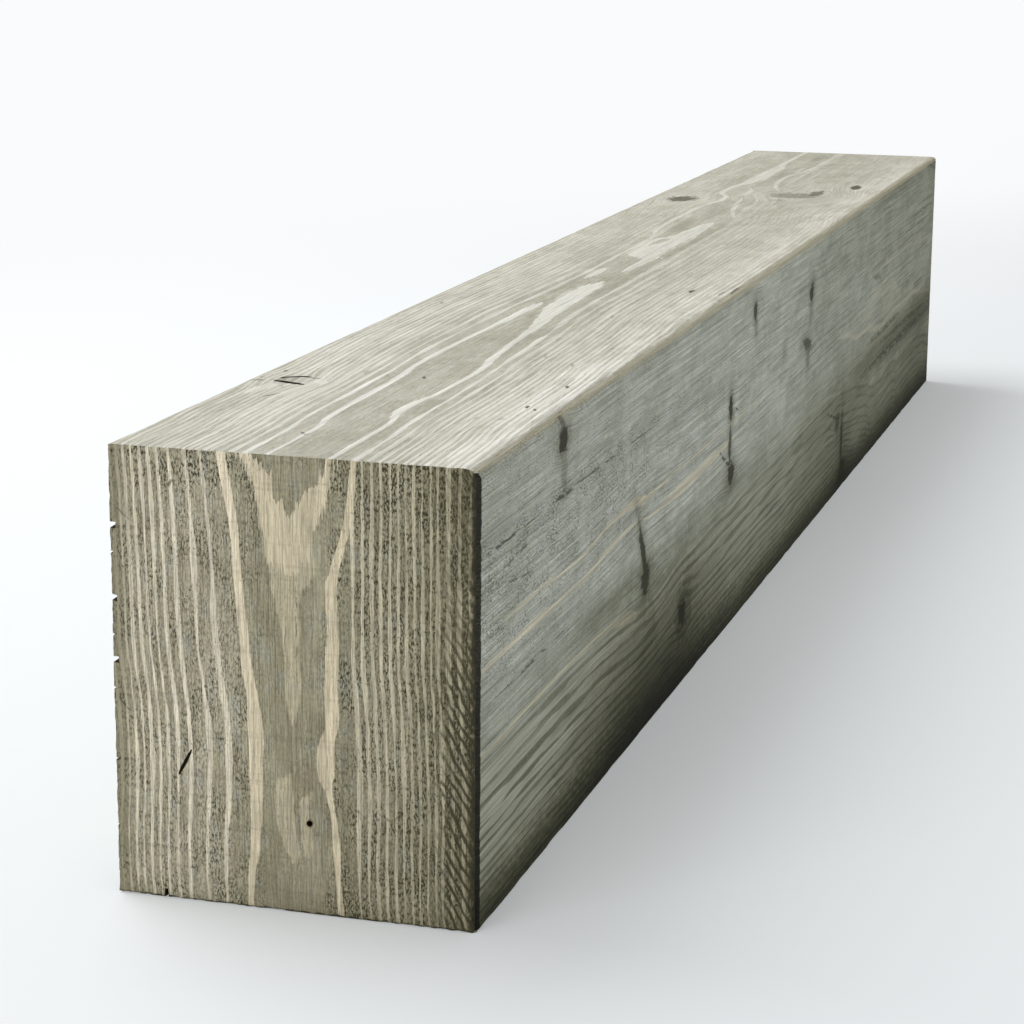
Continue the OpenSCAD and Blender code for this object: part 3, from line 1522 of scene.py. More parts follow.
@dataclass(frozen=True)
class Lamp:
    """A soft square lamp that looks at the beam.

    Attributes:
        name: Its name.
        place: Where it hangs, in metres.
        aim: The point that it looks at.
        size: Length of its side.
        power: Its power in watts.
    """

    name: str
    place: tuple[float, float, float]
    aim: tuple[float, float, float]
    size: float
    power: float

    def hang(self) -> bpy.types.Object:
        """Hangs the lamp.

        Returns:
            The lamp object.
        """
        light = bpy.data.lights.new(self.name, "AREA")
        light.shape = "SQUARE"
        light.size = self.size
        light.energy = self.power
        obj = bpy.data.objects.new(self.name, light)
        obj.location = self.place
        obj.rotation_euler = (Vector(self.aim) - Vector(self.place)).to_track_quat("-Z", "Y").to_euler()
        bpy.context.scene.collection.objects.link(obj)
        return obj


@dataclass(frozen=True)
class PhotoCamera:
    """The camera at the photo's place.

    Attributes:
        place: Where it stands, in metres.
        yaw: Its turn to the left of the long axis, in degrees.
        pitch: Its tilt below the level, in degrees.
        roll: Its roll, in degrees.
        lens: Focal length in millimetres.
        sensor: Width of the sensor in millimetres.
    """

    place: tuple[float, float, float]
    yaw: float
    pitch: float
    roll: float
    lens: float
    sensor: float = 36.0

    def set_up(self) -> bpy.types.Object:
        """Sets the camera up and makes it the scene's.

        Returns:
            The camera object.
        """
        yaw, pitch, roll = (math.radians(angle) for angle in (self.yaw, self.pitch, self.roll))
        right = Vector((math.cos(yaw), math.sin(yaw), 0.0))
        level = Vector((-math.sin(yaw), math.cos(yaw), 0.0))
        ahead = level * math.cos(pitch) - Vector((0.0, 0.0, math.sin(pitch)))
        up = right.cross(ahead)
        rolled_right = right * math.cos(roll) + up * math.sin(roll)
        rolled_up = up * math.cos(roll) - right * math.sin(roll)
        data = bpy.data.cameras.new("photo_camera")
        data.sensor_width = self.sensor
        data.lens = self.lens
        obj = bpy.data.objects.new("photo_camera", data)
        turn = Matrix((rolled_right, rolled_up, -ahead)).transposed()
        obj.matrix_world = Matrix.Translation(self.place) @ turn.to_4x4()
        bpy.context.scene.collection.objects.link(obj)
        bpy.context.scene.camera = obj
        return obj


@dataclass(frozen=True)
class Studio:
    """The plain room that the beam lies in.

    Attributes:
        lamps: The lamps.
        camera: The camera.
        world_strength: Strength of the even light from all round.
        floor_half: Half the floor's side in metres.
        floor_glow: Share of plain white that the camera sees in the floor.
    """

    lamps: tuple[Lamp, ...]
    camera: PhotoCamera
    world_strength: float
    floor_half: float = 40.0
    floor_glow: float = 0.25

    BACKDROP = 0.97
    WHITE = (1.0, 1.0, 1.0, 1.0)
    FLOOR_COLOUR = (0.84, 0.875, 0.89, 1.0)
    FLOOR_ROUGHNESS = 0.9
    FLOOR_SPECULAR = 0.1
    GLOW_COLOUR = (0.955, 0.965, 0.975, 1.0)
    GLOW_ACROSS = 1.6
    GLOW_ALONG = 0.5
    GLOW_RANGE = (0.5, 1.9)
    BACKDROP_SHADE_RANGE = (-0.2, 0.5)
    BACKDROP_SHADE_SHARE = 0.11

    def world(self) -> None:
        """Sets the even light, which the camera sees as white."""
        world = bpy.data.worlds.new("studio")
        world.use_nodes = True
        sheet = NodeSheet(world.node_tree)
        backdrop = world.node_tree.nodes["Background"]
        backdrop.inputs["Color"].default_value = self.WHITE
        seen = Wire(sheet, sheet.node("ShaderNodeLightPath").outputs["Is Camera Ray"])
        strength = seen * (self.BACKDROP - self.world_strength) + self.world_strength
        sheet.feed(backdrop.inputs["Strength"], strength)
        bpy.context.scene.world = world

    def floor(self) -> bpy.types.Object:
        """Lays the floor.

        Returns:
            The floor object.
        """
        ModelKit.clear_selection()
        bpy.ops.mesh.primitive_plane_add(size=2 * self.floor_half, location=(0, 0, 0))
        obj = bpy.context.object
        obj.name = "studio_floor"
        made = bpy.data.materials.new("studio_floor")
        made.use_nodes = True
        sheet = NodeSheet(made.node_tree)
        shader = made.node_tree.nodes["Principled BSDF"]
        shader.inputs["Base Color"].default_value = self.FLOOR_COLOUR
        shader.inputs["Roughness"].default_value = self.FLOOR_ROUGHNESS
        shader.inputs["Specular IOR Level"].default_value = self.FLOOR_SPECULAR
        glow = sheet.node("ShaderNodeEmission")
        glow.inputs["Color"].default_value = self.GLOW_COLOUR
        seen = Wire(sheet, sheet.node("ShaderNodeLightPath").outputs["Is Camera Ray"])
        across, along, _ = sheet.parts(Wire(sheet, sheet.node("ShaderNodeTexCoord").outputs["Object"]))
        distance = sheet.root(across * across * self.GLOW_ACROSS + along * along * self.GLOW_ALONG)
        away = sheet.rise(distance, *self.GLOW_RANGE)
        # Painted shade: the glow that the camera sees dims towards the right of the floor.
        sheet.feed(glow.inputs["Strength"], 1.0 - sheet.rise(across, *self.BACKDROP_SHADE_RANGE) * self.BACKDROP_SHADE_SHARE)
        mixed = sheet.node("ShaderNodeMixShader")
        sheet.feed(mixed.inputs[0], seen * (away * (1.0 - self.floor_glow) + self.floor_glow))
        made.node_tree.links.new(shader.outputs[0], mixed.inputs[1])
        made.node_tree.links.new(glow.outputs[0], mixed.inputs[2])
        surface = made.node_tree.nodes["Material Output"].inputs["Surface"]
        made.node_tree.links.new(mixed.outputs[0], surface)
        obj.data.materials.append(made)
        return obj

    def set_up(self) -> None:
        """Sets up light, floor and camera."""
        self.world()
        self.floor()
        for lamp in self.lamps:
            lamp.hang()
        self.camera.set_up()
        bpy.context.scene.view_settings.view_transform = "Standard"


NEAR_END_FIGURE = Figure(
    heart=((0, 1.0), (27, 0.0), (57, 0.5), (83, 0.0), (107, -1.0), (137, -2.5), (220, -2.5)),
    lift=(
        (0, 463), (27, 508), (57, 612), (80, 668), (109, 552), (137, 440), (169, 345), (186, 270),
        (198, 190), (220, 0),
    ),
    rings=(
        (0, 0), (14.5, 0.22), (23.5, 0.78), (30, 1.25), (34.5, 1.75), (41, 2.5), (49, 3.5), (57.5, 4.5),
        (63, 5.5), (67.5, 6.5), (71.5, 7.5), (75.5, 8.5), (79.5, 9.5), (83, 10.5), (94, 13.5), (130, 23.5),
    ),
    high_rings=(
        (0, 0), (12, 0.5), (20, 1.2), (28, 1.75), (32.6, 2.5), (37.3, 3.5), (41.7, 4.5), (45.9, 5.5),
        (50.5, 6.5), (54.4, 7.5), (58.3, 8.5), (62.2, 9.5), (66, 10.5), (70, 11.5), (73.1, 12.5),
        (130, 23.5),
    ),
    widths=((0, -2.0), (1.99, -2.0), (2.01, 2.0), (3, 2.0), (4, 1.8), (6, 1.5), (9, 1.3), (23.5, 1.2)),
    spread=((0, 0.75), (27, 0.8), (57, 1.1), (80, 1.25), (110, 0.95), (160, 1.1), (193, 0.95), (220, 0.9)),
    inner_fade=((0, 0.0), (220, 0.0)),
    outer_fade=((0, 0.8), (60, 0.9), (220, 0.9)),
    dims=((0, 0.92), (1, 0.9), (2, 0.9), (23.5, 0.86)),
    knots=(Knot(8, 45, 2.0, 2.3, push=0.3, dark=0.5),),
    shakes=(
        Knot(-59, 203, 1.0, 2.6, turn=-25, dark=0.7),
        Knot(-85, 95, 0.5, 5.0, turn=40, dark=0.7),
        Knot(-84, 188, 0.5, 6.0, turn=50, dark=0.5),
        Knot(2.5, 140, 0.35, 26.0, dark=0.6),
        Knot(-3.0, 132, 0.3, 20.0, dark=0.5),
        Knot(30, 54, 1.0, 3.0, turn=70, dark=0.5),
        Knot(45, 52, 0.8, 4.0, turn=60, dark=0.5),
        Knot(52, 53, 0.8, 3.0, turn=-60, dark=0.5),
        Knot(30, 22, 2.2, 2.2, dark=0.25),
    ),
    seams=(
        Seam(
            ((88, 0.5), (105, 0.5), (120, 0.2), (140, -0.5), (158, -2.0), (162, 0.0), (180, -1.0)),
            ((88, -1.0), (105, 3.4), (120, 3.8), (140, 4.6), (158, 8.0), (162, 10.0), (180, 11.5)),
            0.52,
        ),
        Seam(
            ((160, -1.5), (172, -1.5), (180, -1.5), (188, -0.8), (196, 0.5), (210, -0.3), (220, -2.4)),
            (
                (160, -8.0), (168, 7.0), (172, 11.5), (180, 11.5), (188, 13.7), (196, 16.5), (210, 20.6),
                (220, 24.0),
            ),
            0.95,
        ),
        Seam(
            ((186, -0.5), (195, -0.5), (200, -1.5), (205, 0.5), (211, 2.5), (220, -1.0)),
            ((186, -3.0), (195, 1.8), (200, 5.5), (205, 9.5), (211, 12.5), (220, 20.0)),
            0.0,
        ),
        Seam(
            (
                (0, -22.0), (15, -21.3), (30, -19.5), (50, -18.5), (66, -18.5), (80, -18.2), (100, -19.4),
                (120, -22.5), (140, -24.0), (160, -26.2), (180, -27.2), (200, -30.4), (220, -33.8),
            ),
            (
                (0, 1.5), (15, 1.7), (30, 2.5), (50, 2.9), (66, 3.5), (80, 3.8), (100, 3.0), (120, 2.5),
                (160, 2.2), (220, 2.2),
            ),
        ),
        Seam(
            (
                (0, 24.0), (18, 22.1), (33, 21.5), (49, 19.9), (58, 18.3), (64, 17.3), (71, 16.4),
                (78, 16.2), (86, 17.4), (96, 19.6), (111, 19.4), (127, 19.9), (142, 20.2), (150, 19.7),
                (158, 19.6), (166, 20.9), (178, 24.5), (200, 29.3), (220, 30.9),
            ),
            (
                (0, 1.2), (18, 1.4), (33, 1.7), (49, 1.4), (58, 1.5), (64, 2.4), (71, 4.0), (78, 4.6),
                (86, 3.8), (96, 3.1), (111, 3.3), (127, 3.3), (142, 2.5), (150, 3.0), (158, 3.1),
                (166, 2.7), (178, 2.0), (200, 1.7), (220, 1.5),
            ),
        ),
        Seam(
            ((24, 1.0), (36, -2.0), (45, -4.0), (56, -4.6), (68, -3.5)),
            ((24, -1.0), (30, 3.2), (45, 4.5), (56, 4.6), (64, 3.6), (68, -1.0)),
            0.45,
        ),
        Seam(
            ((26, 7.5), (30, 7.5), (40, 6.5), (52, 5.5), (60, 9.0)),
            ((26, -1.0), (30, 2.0), (40, 3.2), (52, 2.2), (57, 2.4), (60, -1.0)),
            0.45,
        ),
    ),
    seed=3.0,
    patchy=0.22,
    vary=0.4,
    feather=0.5,
    sway=0.8,
    ripple=0.7,
    fray=0.45,
    jag=7.0,
    soft=0.25,
    proud=0.22,
    speck_size=(0.85, 2.1),
    speck_level=0.4,
    speck_ramp=0.28,
    speck_detail=3.0,
    speck_belt=((-90, 1.1), (-17, 1.0), (-12, 0.4), (12, 0.4), (17, 1.0), (35, 1.45), (90, 1.9)),
    speck_fade=((0, 1.1), (30, 1.0), (170, 1.0), (200, 1.3), (220, 1.5)),
    fibre_size=(0.62, 16.0),
    streak_size=(1.6, 110.0),
    nap_depth=0.3,
    hatch=Hatch(67, 79, 3.6, 60),
    saw_bands=0.1,
    dash=5.0,
)

TOP_FIGURE = Figure(
    heart=(
        (0, 5.0), (53, 4.0), (97, 1.0), (194, 0.0), (278, -4.0), (389, -6.5), (450, -8.0), (600, -6.0),
        (900, -8.0), (1000, -16.0), (1200, -19.0), (1500, -18.0),
    ),
    lift=(
        (0, 30), (60, 30), (110, 0), (290, 0), (340, 50), (389, 110), (440, 210), (480, 270), (520, 310),
        (950, 330), (1500, 390),
    ),
    rings=(
        (0, 0), (16, 0.5), (27, 1.5), (33.5, 2.5), (38.5, 3.5), (43, 4.5), (46, 5.5), (50.5, 6.5),
        (53.5, 7.5), (57, 8.5), (60, 9.5), (64, 10.5), (67, 11.5), (70, 12.5), (74, 13.5), (77, 14.5),
        (81, 15.5), (84, 16.5), (88, 17.5), (92, 18.5), (130, 29.5),
    ),
    widths=((0, -2.0), (0.99, -2.0), (1.01, 2.6), (2.5, 2.0), (4, 1.7), (29.5, 1.5)),
    spread=((0, 1.0), (1500, 1.2)),
    inner_fade=((0, 1.0), (1500, 1.0)),
    outer_fade=((0, 0.8), (400, 0.7), (650, 0.5), (850, 0.3), (1000, 0.22), (1500, 0.18)),
    dims=((0, 0.9), (0.5, 0.92), (1, 0.95), (2, 0.97), (29.5, 0.98)),
    knots=(
        Knot(-69, 179, 9, 12, push=0.6, dark=0.25),
        Knot(-62, 1065, 13, 21, push=0.6, dark=0.85),
        Knot(22, 1120, 22, 21, push=0.8, dark=0.5),
        Knot(37, 1140, 6, 24, push=0.2, dark=0.75),
        Knot(15, 1080, 7, 10, push=0.0, dark=0.25),
        Knot(61, 1200, 5, 18, turn=4, push=0.6, dark=0.95),
        Knot(-28, 1090, 11, 32, push=0.35, dark=0.0),
    ),
    shakes=(
        Knot(-12, 50, 1.2, 4.5, turn=35, dark=0.9),
        Knot(-4, 207, 1.0, 4.5, turn=20, dark=0.85),
        Knot(70, 146, 1.2, 4.0, turn=10, dark=0.95),
        Knot(75.5, 140, 0.9, 3.5, turn=20, dark=0.9),
        Knot(74, 206, 1.2, 4.0, turn=10, dark=0.85),
        Knot(61, 557, 2.0, 8.0, dark=0.98),
        Knot(81, 553, 0.9, 11.0, dark=0.6),
        Knot(86, 572, 0.9, 16.0, dark=0.6),
        Knot(54, 111, 1.3, 4.0, dark=0.35),
        Knot(66, 113, 1.3, 4.0, dark=0.3),
        Knot(-75, 458, 1.5, 6.0, turn=12, dark=0.4),
        Knot(-39, 214, 1.2, 6.0, turn=12, dark=0.4),
        Knot(-24, 207, 1.0, 4.0, turn=20, dark=0.4),
        Knot(60, 268, 1.2, 7.0, turn=20, dark=0.35),
        Knot(39, 290, 1.2, 6.0, turn=14, dark=0.3),
        Knot(39, 437, 1.2, 7.0, turn=10, dark=0.3),
        Knot(30, 349, 1.0, 6.0, dark=0.3),
        Knot(-83, 173.5, 1.0, 9.0, turn=109, dark=0.95),
        Knot(-59, 188, 1.0, 6.5, turn=80, dark=0.8),
        Knot(-84.7, 181.7, 1.5, 2.2, dark=1.0),
        Knot(-81.5, 188.5, 1.3, 3.4, turn=60, dark=1.0),
        Knot(-80, 203, 1.4, 2.6, dark=0.9),
        Knot(-74, 184, 1.6, 2.4, dark=0.9),
        Knot(-65, 160, 1.4, 3.0, turn=40, dark=0.8),
        Knot(-62.5, 135.5, 0.9, 7.0, turn=-25, dark=0.8),
    ),
    blazes=(
        Knot(-74, 152, 4.2, 17, turn=-6, dark=0.8),
        Knot(-51, 178, 3.4, 7, turn=20, dark=0.75),
        Knot(-62, 181, 3.0, 5, dark=0.6),
    ),
    seams=(
        Seam(
            (
                (0, -10.5), (53, -10.5), (97, -15.0), (194, -16.7), (278, -21.0), (389, -19.0),
                (444, -17.5), (480, -17.0),
            ),
            (
                (0, 0.9), (60, 1.3), (110, 1.8), (200, 1.9), (290, 1.5), (380, 1.9), (430, 3.0), (465, 2.5),
                (480, -1.0),
            ),
            0.85,
        ),
        Seam(
            (
                (0, 20.0), (83, 18.7), (125, 13.0), (167, 16.0), (222, 17.5), (278, 12.5), (333, 8.7),
                (389, 5.0), (430, 0.5), (500, -4.7), (545, -5.0), (585, -2.5),
            ),
            (
                (0, 1.2), (90, 1.5), (125, 2.8), (165, 1.5), (220, 1.5), (278, 2.5), (330, 2.0), (380, 3.4),
                (430, 5.2), (500, 7.6), (545, 6.6), (570, 3.0), (585, -1.0),
            ),
            0.8,
        ),
        Seam(((590, -19.0), (645, -18.0)), ((590, -1.0), (605, 2.8), (625, 3.4), (645, -1.0)), 0.6),
        Seam(
            (
                (615, -2.0), (690, -1.5), (715, -9.5), (750, -11.0), (800, -10.5), (822, -6.0), (860, -5.0),
                (900, -4.0), (915, -3.0),
            ),
            (
                (615, -1.0), (640, 2.3), (690, 4.3), (712, 11.5), (750, 13.5), (800, 13.0), (822, 9.2),
                (860, 7.0), (900, 4.2), (915, -1.0),
            ),
            0.58,
        ),
        Seam(((765, -18.0), (812, -13.0)), ((765, -1.0), (780, 3.2), (800, 3.4), (812, -1.0)), 0.0),
        Seam(
            (
                (795, -24.0), (830, -29.0), (861, -34.0), (933, -36.0), (1000, -36.0), (1040, -33.0),
                (1075, -29.0), (1111, -38.0), (1139, -41.0), (1200, -36.0), (1250, -33.0), (1340, -34.0),
                (1400, -37.0), (1500, -37.0),
            ),
            (
                (795, -0.5), (830, 1.4), (933, 1.8), (1000, 2.0), (1075, 2.4), (1111, 2.4), (1160, 2.6),
                (1210, 5.5), (1250, 7.2), (1330, 6.0), (1390, 3.0), (1500, 2.6),
            ),
            0.5,
        ),
        Seam(
            ((940, 8.0), (1000, -5.0), (1050, -12.0), (1090, -15.0)),
            ((940, -0.5), (970, 1.6), (1050, 2.0), (1090, -0.5)),
            0.4,
        ),
        Seam(((1095, -24.0), (1128, -19.0), (1165, -24.0)), ((1095, -0.5), (1128, 2.4), (1165, -0.5)), 0.4),
        Seam(
            ((1145, 4.0), (1211, -10.0), (1255, -12.5), (1305, -6.0), (1400, -3.0), (1500, -3.0)),
            ((1145, -0.5), (1165, 1.6), (1211, 2.0), (1255, 1.8), (1305, 1.8), (1400, 1.5), (1500, 1.4)),
            0.42,
        ),
    ),
    stains=(
        Knot(-80, 60, 20, 170, dark=0.12),
        Knot(-23, 545, 5, 48, dark=0.16),
        Knot(-4, 603, 10, 24, dark=0.14),
        Knot(8, 720, 3.4, 300, dark=0.12),
        Knot(-21, 882, 7, 54, turn=4, dark=0.22),
        Knot(-30, 690, 6, 45, dark=0.1),
        Knot(-13, 1430, 7, 60, dark=0.14),
        Knot(-20, 1250, 5, 60, dark=0.1),
        Knot(-47, 1220, 3, 110, dark=0.12),
        Knot(3, 1270, 3, 70, dark=0.12),
        Knot(34, 1300, 8, 60, dark=0.08),
    ),
    seed=21.0,
    patchy=0.35,
    vary=0.5,
    sway=1.8,
    ripple=0.7,
    fray=0.3,
    jag=16.0,
    soft=0.5,
    proud=0.07,
    speck_size=(0.8, 7.0),
    speck_level=0.54,
)

RIGHT_FIGURE = Figure(
    heart=(
        (0, 158.0), (110, 159.0), (300, 157.0), (400, 158.0), (800, 160.0), (930, 160.0), (1000, 157.0),
        (1115, 144.5), (1178, 136.0), (1255, 140.5), (1290, 136.0), (1360, 139.0), (1500, 127.0),
    ),
    lift=((0, 0), (320, 10), (700, 60), (1000, 30), (1500, 0)),
    rings=(
        (0, 0), (60, 3.0), (76, 4.0), (81.5, 5.0), (90, 6.0), (98.5, 7.0), (107.5, 8.0), (113, 9.0),
        (118.5, 10.0), (124.5, 11.0), (129.5, 12.0), (134, 13.0), (158, 19.0), (180, 25.0),
    ),
    widths=(
        (0, -2.0), (3.99, -2.0), (4.01, 2.4), (4.99, 2.4), (5.01, 6.0), (8, 5.6), (9, 4.0), (12, 3.2),
        (25, 2.6),
    ),
    spread=((0, 1.0), (1500, 1.1)),
    inner_fade=((0, 0.0), (1500, 0.0)),
    outer_fade=((0, 0.8), (340, 0.75), (600, 0.55), (900, 0.45), (1100, 0.3), (1500, 0.25)),
    dims=((0, 1.0), (3.6, 1.0), (4.3, 0.92), (5.0, 0.6), (8, 0.5), (15, 0.5), (25, 0.5)),
    knots=(
        Knot(205, 143, 7.5, 8.5, turn=12, push=0.4, dark=0.88),
        Knot(214, 141, 6, 4.5, push=0.0, dark=0.5),
        Knot(189, 145, 11, 5.5, push=0.0, dark=0.28),
        Knot(105, 317, 4.6, 27, turn=60, push=0.0, dark=0.85),
        Knot(90, 323, 11, 10, push=0.0, dark=0.85),
        Knot(104, 318, 26, 40, push=0.22, dark=0.0),
        Knot(84, 354, 6, 16, push=0.5, dark=0.12),
        Knot(45, 419, 9.5, 11.5, push=0.6, dark=0.97),
        Knot(46, 424, 22, 24, push=0.0, dark=0.35),
        Knot(147, 550, 9.5, 6, push=0.2, dark=0.9),
        Knot(121, 550, 15, 4, push=0.0, dark=0.75),
        Knot(103, 555, 8, 11, push=0.3, dark=0.85),
        Knot(198, 623, 7, 6, push=0.3, dark=0.8),
        Knot(188, 626, 8, 6, push=0.0, dark=0.3),
        Knot(182, 835, 7.5, 8.5, turn=-25, push=0.3, dark=0.85),
        Knot(168, 833, 10, 7, push=0.0, dark=0.25),
        Knot(145, 822, 5, 18, turn=12, push=0.2, dark=0.7),
        Knot(133, 827, 8, 7, push=0.0, dark=0.35),
        Knot(153, 730, 6, 9, push=0.0, dark=0.2),
        Knot(14, 1000, 12, 15, push=0.5, dark=0.97),
        Knot(58, 970, 8, 11, push=0.4, dark=0.6),
        Knot(40, 992, 24, 5.5, push=0.0, dark=0.75),
    ),
    shakes=(
        Knot(177, 45, 1.0, 60, dark=0.8),
        Knot(177, 146, 1.6, 22, turn=1, dark=0.8),
        Knot(177, 200, 0.8, 60, turn=1, dark=0.65),
        Knot(176, 300, 0.9, 40, turn=1, dark=0.6),
        Knot(166, 62, 1.0, 26, turn=-3, dark=0.6),
        Knot(154, 66, 0.9, 20, turn=6, dark=0.6),
        Knot(106, 80, 0.7, 75, dark=0.7),
        Knot(115, 536, 1.8, 22, turn=25, dark=0.75),
        Knot(142.5, 569, 0.8, 5.5, turn=20, dark=0.9),
        Knot(131, 640, 0.5, 90, turn=-2, dark=0.4),
        Knot(68, 944, 1.8, 28, turn=14, dark=0.7),
        Knot(57, 945, 1.4, 18, turn=12, dark=0.5),
        Knot(75.5, 1300, 4.0, 230, dark=0.62),
        Knot(86, 1350, 2.6, 160, turn=1, dark=0.5),
        Knot(98.5, 1200, 2.8, 100, dark=0.5),
        Knot(178, 1420, 1.6, 90, dark=0.5),
        Knot(186, 1440, 1.4, 80, dark=0.4),
        Knot(168, 1390, 1.0, 100, dark=0.3),
        Knot(150, 1150, 2.6, 24, turn=8, dark=0.4),
    ),
    seams=(
        Seam(
            (
                (30, 139.0), (97, 139.4), (167, 136.7), (250, 140.8), (292, 140.8), (319, 136.7),
                (400, 137.5), (500, 136.0), (700, 136.0),
            ),
            (
                (30, -0.2), (50, 0.6), (97, 1.1), (167, 0.8), (250, 1.2), (280, 2.5), (308, 3.0),
                (325, 1.2), (400, 0.7), (560, 0.7), (700, -0.2),
            ),
            0.72,
        ),
        Seam(
            (
                (0, 124.0), (83, 125.0), (128, 124.0), (194, 124.0), (228, 127.0), (290, 128.3),
                (330, 124.5), (440, 124.0), (500, 124.5), (620, 126.0),
            ),
            (
                (0, 1.3), (60, 1.8), (110, 2.2), (150, 1.0), (195, 1.6), (230, 1.6), (280, 1.2), (310, 0.5),
                (370, 1.8), (440, 3.2), (500, 2.8), (560, 0.9), (620, -0.2),
            ),
            0.68,
            0.9,
        ),
        Seam(
            (
                (0, 83.3), (42, 83.3), (70, 85.3), (155, 85.3), (222, 84.0), (264, 79.7), (292, 76.0),
                (308, 73.0),
            ),
            ((0, 1.5), (70, 1.5), (150, 1.5), (230, 1.4), (264, 2.2), (290, 3.0), (308, -0.6)),
            0.75,
            0.7,
        ),
        Seam(
            ((650, 91.0), (760, 90.0), (860, 88.5), (945, 84.5), (985, 78.0)),
            ((650, -0.3), (720, 1.2), (860, 1.6), (940, 1.6), (985, -0.5)),
            0.6,
            0.3,
        ),
        Seam(
            ((1070, 120.0), (1100, 126.0), (1150, 127.0), (1210, 127.0), (1260, 121.0), (1300, 110.0)),
            ((1070, -1.0), (1100, 8.0), (1150, 12.0), (1210, 15.0), (1260, 10.0), (1300, -1.0)),
            0.6,
            0.05,
        ),
        Seam(
            ((1130, 122.0), (1165, 121.0), (1195, 120.0)),
            ((1130, -1.0), (1150, 8.0), (1172, 8.0), (1195, -1.0)),
            0.05,
            0.0,
        ),
        Seam(
            (
                (950, 128.0), (1000, 124.0), (1055, 114.0), (1117, 112.0), (1178, 103.0), (1255, 107.0),
                (1290, 103.0), (1360, 106.0), (1417, 100.0), (1500, 91.0),
            ),
            (
                (950, -0.5), (1000, 2.0), (1055, 2.2), (1117, 2.4), (1178, 2.8), (1255, 3.0), (1290, 3.4),
                (1360, 2.6), (1420, 2.0), (1500, 1.6),
            ),
            1.0,
            0.05,
        ),
        Seam(
            ((960, 86.0), (1090, 93.0), (1200, 93.5), (1300, 92.0), (1400, 88.0), (1500, 84.0)),
            ((960, -0.3), (1040, 1.0), (1200, 1.4), (1400, 1.2), (1500, 1.2)),
            0.8,
            0.2,
        ),
        Seam(
            ((1130, 153.0), (1167, 155.0), (1300, 155.0), (1390, 150.5), (1500, 146.0)),
            ((1130, -0.3), (1180, 1.0), (1300, 1.2), (1390, 1.6), (1500, 1.0)),
            0.6,
            0.2,
        ),
    ),
    stains=(
        Knot(20, 350, 70, 200, dark=0.66),
        Knot(4, 290, 36, 230, dark=0.18),
        Knot(90, 560, 13, 140, dark=0.2),
        Knot(96, 230, 9, 120, dark=0.3),
        Knot(0, 1000, 50, 60, dark=0.4),
        Knot(75, 1460, 26, 140, dark=0.3),
        Knot(82, 1280, 17, 330, dark=0.4),
        Knot(32, 1210, 24, 200, dark=-0.25),
    ),
    seed=41.0,
    patchy=0.25,
    vary=0.35,
    sway=1.6,
    ripple=0.45,
    fray=0.15,
    jag=10.0,
    soft=0.5,
    proud=0.1,
    feather=1.2,
    speck_size=(0.8, 3.0),
    speck_level=0.45,
    speck_detail=3.0,
    fibre_size=(0.55, 70.0),
    streak_size=(1.8, 420.0),
    nap_depth=0.14,
    speck_belt=(
        (0, 0.35), (95, 0.35), (115, 0.6), (140, 0.9), (160, 1.0), (178, 1.0), (186, 0.55), (220, 0.5),
    ),
    speck_fade=((0, 1.0), (280, 0.9), (420, 0.55), (700, 0.4), (1500, 0.25)),
)

LEFT_FIGURE = Figure(
    heart=((0, 70.0), (500, 76.0), (1000, 84.0), (1500, 80.0)),
    lift=((0, 300), (400, 120), (900, 260), (1500, 520)),
    rings=((0, 0), (18, 0.5), (33, 1.5), (46, 2.5), (58, 3.5), (68, 4.5), (90, 9.5), (160, 27.5)),
    widths=((0, 2.2), (4, 1.9), (27.5, 1.5)),
    spread=((0, 1.0), (1500, 1.2)),
    inner_fade=((0, 0.9), (1500, 0.9)),
    outer_fade=((0, 0.85), (1500, 0.8)),
    dims=((0, 1.0), (3.6, 0.96), (6, 0.8), (27.5, 0.7)),
    knots=(
        Knot(150, 310, 12, 15, push=0.7, dark=0.8),
        Knot(40, 820, 9, 10, push=0.7, dark=0.85),
        Knot(176, 1180, 14, 12, push=0.7, dark=0.7),
    ),
    shakes=(Knot(120, 900, 0.8, 90, dark=0.6), Knot(190, 420, 0.6, 60, dark=0.5)),
    seed=61.0,
    sway=2.0,
    ripple=1.0,
    proud=0.1,
    speck_size=(0.6, 6.0),
    speck_level=0.5,
)

UNDERSIDE_FIGURE = Figure(
    heart=((0, -12.0), (600, -4.0), (1500, 10.0)),
    lift=((0, 500), (700, 180), (1500, 420)),
    rings=((0, 0), (16, 0.5), (28, 1.5), (38, 2.5), (60, 7.5), (120, 22.5)),
    widths=((0, 2.2), (3, 1.8), (22.5, 1.5)),
    spread=((0, 1.0), (1500, 1.2)),
    inner_fade=((0, 0.9), (1500, 0.9)),
    outer_fade=((0, 0.85), (1500, 0.8)),
    dims=((0, 1.0), (3.6, 0.96), (6, 0.85), (22.5, 0.8)),
    knots=(Knot(40, 500, 12, 16, push=0.7, dark=0.8), Knot(-48, 1050, 10, 14, push=0.7, dark=0.8)),
    shakes=(Knot(10, 750, 0.8, 120, dark=0.6),),
    seed=81.0,
    proud=0.08,
    speck_size=(0.6, 6.0),
    speck_level=0.5,
)

